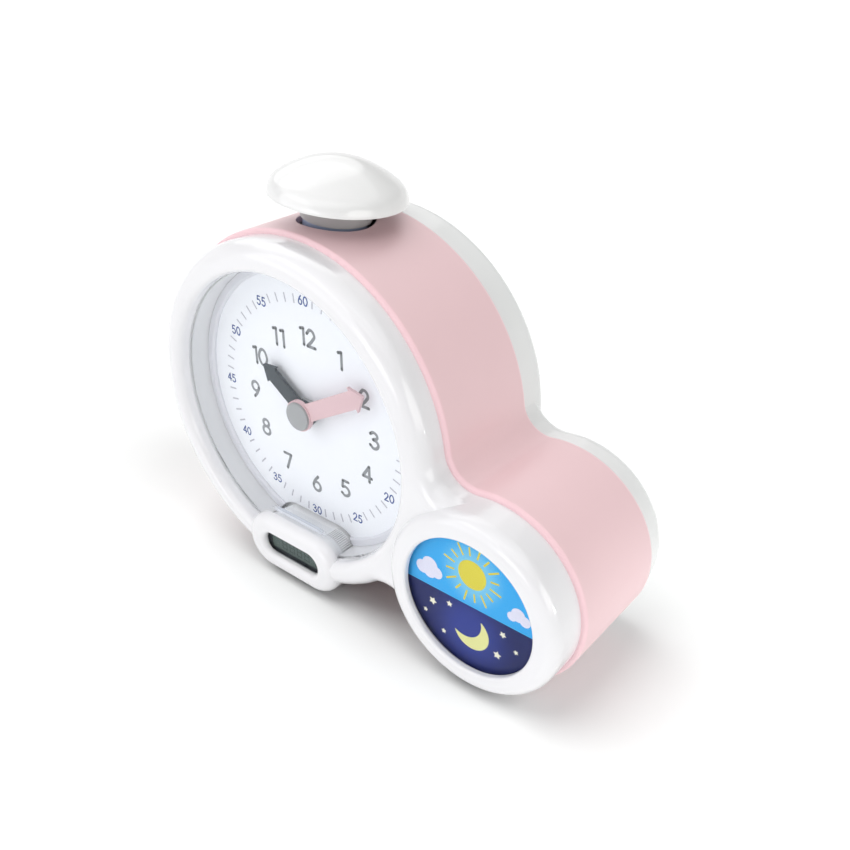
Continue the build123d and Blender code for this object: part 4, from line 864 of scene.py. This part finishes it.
# %% [markdown]
# ## The picture of day and night
# The picture is a printed sheet that two rows of lamps can light: the upper half for day, the
# lower half for night. Two half sheets would leave a seam, so the two skies are one material,
# split at a level line. Both skies are brighter round the middle of their own half, where the
# distance to a point is small.

# %% The two skies
SKY_MIDDLES = 0.0135            # how far above and below the horizon each sky is brightest
HORIZON = 0.0012                # the day begins this far below the middle of the sheet
SHEET = 17.4                    # front of the printed sheet, in mm out of the dial


def two_skies(name):
    finish = Finish(name)
    where = finish.place(on_dial(*LOBE))
    up = finish.split(where)[2] + HORIZON
    sun_place = (0.0, -SHEET * MM, SKY_MIDDLES)
    moon_place = (0.0, -SHEET * MM, -SKY_MIDDLES)
    to_sun = finish.vector_math("DISTANCE", where, sun_place, out="Value")
    to_moon = finish.vector_math("DISTANCE", where, moon_place, out="Value")
    day = finish.mix(to_sun.between(0.005, 0.016), (0.20, 0.56, 0.78), (0.035, 0.39, 0.80))
    night = finish.mix(to_moon.between(0.004, 0.022), (0.022, 0.040, 0.26), (0.006, 0.012, 0.10))
    tone = finish.mix(up.between(-0.00005, 0.00005), night, day)
    return finish.show(
        finish.principled(Base_Color=tone, Roughness=0.5, Specular_IOR_Level=0.1)
    )


dress(nodes["picture_sheet"], two_skies("two_skies"))
print("sheet:", nodes["picture_sheet"].data.materials[0].name)

# %% [markdown]
# ## Sun and moon
# Both are flat shapes of ink on the sheet. The sun is a disc with sixteen thin rays of two
# lengths, which take turns. A crescent could be one disc cut from another by a Boolean. Folding
# is simpler: the points of a disc beyond a chord are mirrored in it, and the far side becomes
# the hollow of the moon.

# %% Sun and moon
SUN_R, SUN_UP = 6.3, 13.5
RAYS, RAY_LONG, RAY_WIDE, RAY_FROM = 16, (3.8, 5.2), 0.8, 8.2
MOON_R, CHORD, FOLD = 8.0, 3.0, 1.05
MOON_LEAN = radians(128)


def on_picture(right, up, layer=INK):
    return print_at(LOBE[0] + right, LOBE[1] + up, SHEET + layer)


sun = bmesh.new()
add_disc(sun, SUN_R, on_picture(0, SUN_UP))
for ray in range(RAYS):
    length = RAY_LONG[ray % 2]
    turn = turned(2 * pi * (ray + 0.35) / RAYS)
    outward = Matrix.Translation((RAY_FROM + length / 2, 0, 0))
    add_bar(sun, length, RAY_WIDE, on_picture(0, SUN_UP) @ turn @ outward)
finish_piece("sun", sun, ink("sun_ink", (0.66, 0.57, 0.05)))

moon = bmesh.new()
for corner in add_disc(moon, MOON_R, Matrix.Identity(4), 72):
    if corner.co.x > CHORD:
        corner.co.x = CHORD - FOLD * (corner.co.x - CHORD)
moon.transform(on_picture(0.5, -13.2) @ turned(MOON_LEAN))
finish_piece("moon", moon, ink("moon_ink", (0.72, 0.71, 0.30)))

# %% [markdown]
# ## Stars and clouds
# A star is a circle of ten points with every second one pulled in, turned by its own angle so
# that no two look stamped. A cloud is a heap of overlapping discs in one colour, each a little
# further out than the last. A table gives the place and radius of each in millimetres.

# %% Stars and clouds
STARS = [
    (-18, -8, 1.9), (-10, -5.2, 1.5), (14.5, -6.5, 1.6), (12.5, -17.5, 1.9),
    (-12.5, -20, 1.3), (20.5, -11.5, 1.2), (-21.5, -14.0, 1.2),
]
STAR_WAIST = 0.52
CLOUDS = [
    (-19.5, 8.5, 3.6), (-23, 6.2, 3.0), (-16.3, 6.3, 2.7), (-19.6, 5.4, 2.9),
    (20.5, 6.0, 3.0), (23.4, 4.6, 2.4), (17.9, 4.2, 2.0),
]

stars = bmesh.new()
for right, up, radius in STARS:
    tips = add_disc(stars, radius, Matrix.Identity(4), 10)
    for tip in tips[1::2]:
        tip.co *= STAR_WAIST
    bmesh.ops.transform(stars, matrix=on_picture(right, up) @ turned(right), verts=tips)
finish_piece("stars", stars, ink("star_ink", (0.80, 0.77, 0.62)))

clouds = bmesh.new()
for layer, (right, up, radius) in enumerate(CLOUDS):
    add_disc(clouds, radius, on_picture(right, up, 0.02 + 0.004 * layer))
finish_piece("clouds", clouds, ink("cloud_ink", (0.70, 0.69, 0.80)))

# %% [markdown]
# ## Screw heads
# The solids have plain heads. The real ones are pan heads with a cross recess, 2.8 mm in radius.
# A recess has to be a real hollow to catch the light, so a Boolean cuts two crossing bars out of
# each head. Before that, a bevel rounds the head's upper edge. The whole screw is modelled at
# the origin, pointing up, because that is where it is easiest to describe.

# %% One cross-head screw
HEAD_R, HEAD_ROUND, SHAFT_R = 2.8, 0.35, 1.2
CROSS = (2.9, 0.62, 1.4)        # length, width and height of each bar of the cross


def pan_head(high, shaft):
    """Mesh of a screw in millimetres: its head stands on XY, and its shaft hangs below."""
    bm = bmesh.new()
    head = bmesh.ops.create_cone(
        bm, cap_ends=True, segments=32, radius1=HEAD_R, radius2=HEAD_R, depth=high
    )
    bmesh.ops.translate(bm, vec=(0, 0, high / 2), verts=head["verts"])
    top = [e for e in bm.edges if all(v.co.z > high - 0.01 for v in e.verts)]
    bmesh.ops.bevel(
        bm, geom=top, offset=HEAD_ROUND, segments=3, profile=0.5, affect="EDGES", material=-1
    )
    rod = bmesh.ops.create_cone(
        bm, cap_ends=True, segments=24, radius1=SHAFT_R, radius2=SHAFT_R, depth=shaft
    )
    bmesh.ops.translate(bm, vec=(0, 0, -shaft / 2 + 0.01), verts=rod["verts"])
    return bm


def cross_tool(high):
    """The two crossing bars, half sunk in the top of a head."""
    bm = bmesh.new()
    for turn in (0, pi / 2):
        bar = turned(turn) @ Matrix.Diagonal((*CROSS, 1))
        made = bmesh.ops.create_cube(bm, size=1.0, matrix=bar)
        bmesh.ops.translate(bm, vec=(0, 0, high), verts=made["verts"])
    mesh = bpy.data.meshes.new("cross")
    bm.to_mesh(mesh)
    bm.free()
    tool = bpy.data.objects.new("cross", mesh)
    bpy.context.scene.collection.objects.link(tool)
    return tool


print("cross recess:", CROSS, "mm")

# %% [markdown]
# Only after the cut does a screw go to its place on the back. Each one is turned by its own
# angle, because a screw stops where it stops. The Boolean is worked out once and kept as a plain
# mesh, so nothing is left to compute when the clock is posed.

# %% Screws on the back
CASE_HEAD, CASE_SHAFT, CASE_SEAT = 2.2, 11.9, -10.5
DOOR_HEAD, DOOR_SHAFT, DOOR_SEAT, DOOR_UP = 1.05, 4.2, -60.9, -6.6


def cross_head(name, spot, high, shaft, replaced, body):
    """A screw seen from the back, which stands for a plain one."""
    right, up, out = spot
    piece = finish_piece(name, pan_head(high, shaft), steel, body)
    tool = cross_tool(high)
    cut = piece.modifiers.new("cross", "BOOLEAN")
    cut.object = tool
    cut.solver = "EXACT"
    bpy.context.view_layer.update()
    seen = piece.evaluated_get(bpy.context.evaluated_depsgraph_get())
    mesh = bpy.data.meshes.new_from_object(seen)
    piece.modifiers.clear()
    bpy.data.objects.remove(tool)
    to_back = Matrix.Rotation(-pi / 2, 4, "X") @ turned(right) @ Matrix.Scale(MM, 4)
    mesh.transform(Matrix.Translation(on_dial(right, up, out)) @ to_back)
    piece.data = mesh
    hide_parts(replaced)


POST_R, NECK_POST_R, PAST_LOBE = 69.0, 69.3, 33.4
NECK = atan2(LOBE[1], LOBE[0])     # direction of the small lobe from the middle of the dial
posts = [(POST_R * cos(radians(a)), POST_R * sin(radians(a))) for a in (45, 140, 230)]
posts += [(r * cos(NECK), r * sin(NECK)) for r in (NECK_POST_R, hypot(*LOBE) + PAST_LOBE)]
for count, post in enumerate(posts, 1):
    spot = (*post, CASE_SEAT)
    cross_head(f"case_screw_{count}", spot, CASE_HEAD, CASE_SHAFT, "housing_screws", "case")
spot = (0, DOOR_UP, DOOR_SEAT)
cross_head("door_screw_head", spot, DOOR_HEAD, DOOR_SHAFT, "door_screw", "door")

# %% [markdown] ## Return spring The coil under the button is a rigid solid in the frame, and a rigid coil would poke through the cap when the button goes down. A real one shortens. Here the coil is only copied into a piece of its own that rides on the case, and the rigid solid is hidden.

# %% Return spring
rigid_spring = nodes["return_spring"]
spring_mesh = rigid_spring.data.copy()
spring_mesh.transform(rigid_spring.matrix_world)
spring = bpy.data.objects.new("soft_spring", spring_mesh)
bpy.context.scene.collection.objects.link(spring)
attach(spring, "case")
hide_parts("return_spring")

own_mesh(spring)

# %% [markdown]
# ## Floor
# The clock stands on a plain white sheet of paper, so large that its end is never seen. Its
# colour is a middle grey on purpose. The floor's own lamps make it white where nothing is in
# their way, and because the paper is grey, little of the pink that the band throws on it shows.

# %% Floor
FLOOR_HALF = 6.0                # metres from the middle of the floor to its edges


def studio_paper(name):
    finish = Finish(name)
    share = finish.noise(30, 2).between(0.3, 0.7)
    tone = finish.mix(share, (0.630, 0.635, 0.633), (0.635, 0.64, 0.638))
    return finish.show(finish.node("ShaderNodeBsdfDiffuse", None, {"Color": tone}))


sheet = bmesh.new()
bmesh.ops.create_grid(sheet, x_segments=1, y_segments=1, size=FLOOR_HALF)
floor_mesh = bpy.data.meshes.new("floor")
sheet.to_mesh(floor_mesh)
sheet.free()
floor_mesh.materials.append(studio_paper("studio_paper"))
floor = bpy.data.objects.new("floor", floor_mesh)
bpy.context.scene.collection.objects.link(floor)
print("floor:", 2 * FLOOR_HALF, "m wide")

# %% [markdown]
# ## Kinds of lamp
# Three kinds of lamp are used. A sun with a wide disc stands for a large softbox: it is equally
# strong everywhere, and the wider the disc, the softer the shadow. A rectangle draws a bright
# line on a gloss surface, and a spot lights one small region. All of them aim at the middle of
# the clock unless told otherwise.

# %% Lamps
CLOCK_MIDDLE = (0, 0, 0.08)


def aim(lamp, place, target=CLOCK_MIDDLE):
    lamp.location = place
    lamp.rotation_euler = (Vector(target) - Vector(place)).to_track_quat("-Z", "Y").to_euler()
    bpy.context.scene.collection.objects.link(lamp)
    return lamp


def wide_sun(name, place, strength, disc, colour=(1.0, 1.0, 1.0)):
    data = bpy.data.lights.new(name, "SUN")
    data.energy = strength
    data.color = colour
    data.angle = radians(disc)
    return aim(bpy.data.objects.new(name, data), place)


def strip(name, place, size, power):
    data = bpy.data.lights.new(name, "AREA")
    data.shape = "RECTANGLE"
    data.size, data.size_y = size
    data.energy = power
    return aim(bpy.data.objects.new(name, data), place)


def narrow_spot(name, place, target, cone, power):
    data = bpy.data.lights.new(name, "SPOT")
    data.energy = power
    data.spot_size = radians(cone)
    data.spot_blend = 1.0
    data.shadow_soft_size = 0.06
    return aim(bpy.data.objects.new(name, data), place, target)


def link_floor(lamp, state):
    """Light linking: INCLUDE for a lamp that lights the floor alone, EXCLUDE for all but it."""
    receivers = bpy.data.collections.new(f"{lamp.name}_receivers")
    receivers.objects.link(floor)
    receivers.collection_objects[0].light_linking.link_state = state
    lamp.light_linking.receiver_collection = receivers


print("lamps aim at", CLOCK_MIDDLE)

# %% [markdown]
# ## Light on the clock
# Light from above and a little from the left gives the main shape. Weaker lamps lift the dial
# from in front, the right side of the band, the frame's underside and the left rim, and a spot
# brightens the foot of the small lobe. A thin strip puts a bright line on the rounded mouldings.
# These lamps leave the floor alone, so that they can be set for the clock only.

# %% Light on the clock
clock_lights = [
    wide_sun("top_light", (-0.1, -0.1, 1.2), 1.40, 100),
    wide_sun("back_light", (-0.8, 0.5, 1.0), 0.63, 60),
    wide_sun("front_light", (-0.6, -1.2, 0.6), 0.91, 60, (0.97, 0.97, 1.0)),
    wide_sun("low_front_light", (0.1, -1.2, 0.12), 0.45, 30, (0.97, 0.97, 1.0)),
    wide_sun("side_light", (1.2, -0.2, 0.25), 0.72, 40, (1.0, 1.0, 0.97)),
    narrow_spot("low_side_light", (0.9, 0.10, 0.02), (0.103, 0.005, 0.010), 8.5, 12),
    strip("strip_light", (0.3, -0.6, 1.3), (0.9, 0.08), 0.35),
]
for lamp in clock_lights:
    link_floor(lamp, "EXCLUDE")
print("on the clock:", [lamp.name for lamp in clock_lights])

# %% [markdown]
# ## Light on the floor
# The lamps of the clock come from all round and would draw a wide, weak shadow. A photographer
# would retouch that. Here the floor has three lamps of its own: a steep one from the left, whose
# shadow stays short and soft, one from the right for the faint shadow on the other side, and a
# weak one from above. Together they make the open floor just white.

# %% Light on the floor
floor_lights = [
    wide_sun("floor_key", (-0.38, -0.12, 1.0), 3.3, 60),
    wide_sun("floor_right", (1.0, 0.0, 0.9), 2.25, 50),
    wide_sun("floor_top", (0.0, -0.2, 1.0), 0.4, 120),
]
for lamp in floor_lights:
    link_floor(lamp, "INCLUDE")
print("on the floor:", [lamp.name for lamp in floor_lights])

# %% [markdown]
# ## Surroundings
# The world is a white room. What the camera sees of it directly, through something clear or in
# a mirror is plain white, but as a light it is much weaker, so that it only fills the shadows.
# Mirrored in gloss plastic, an all-white room would leave no form, so a glossy ray finds a
# slightly grey wall at one height, and the roundings get a soft line from it.

# %% World
FILL = 0.27                     # strength of the room as a light
WALL_GREY = 0.3                 # how much darker than white the wall is in a reflection


def ray_is(finish, kind):
    """1 for a ray of that kind: Camera, Glossy, Diffuse or Transmission."""
    return finish.node("ShaderNodeLightPath", out=f"Is {kind} Ray")


studio = bpy.data.worlds.new("studio")
room = Finish("studio", studio)
height = room.split(room.node("ShaderNodeTexCoord", out="Generated"))[2]
wall = height.between(0.2, 0.3) * height.below(0.5, 0.62)
mirrored = ray_is(room, "Glossy")
direct = ray_is(room, "Camera") + mirrored + ray_is(room, "Transmission")
direct = direct.math("MINIMUM", 1.0)
strength = direct * (1.0 - mirrored * wall * WALL_GREY) + (1.0 - direct) * FILL
backdrop = {"Color": (1, 1, 1, 1), "Strength": strength}
room.show(room.node("ShaderNodeBackground", None, backdrop), "ShaderNodeOutputWorld")
bpy.context.scene.world = studio
bpy.context.scene.view_settings.view_transform = "Standard"
print("world:", studio.name, "fills with", FILL)

# %% [markdown]
# ## The end
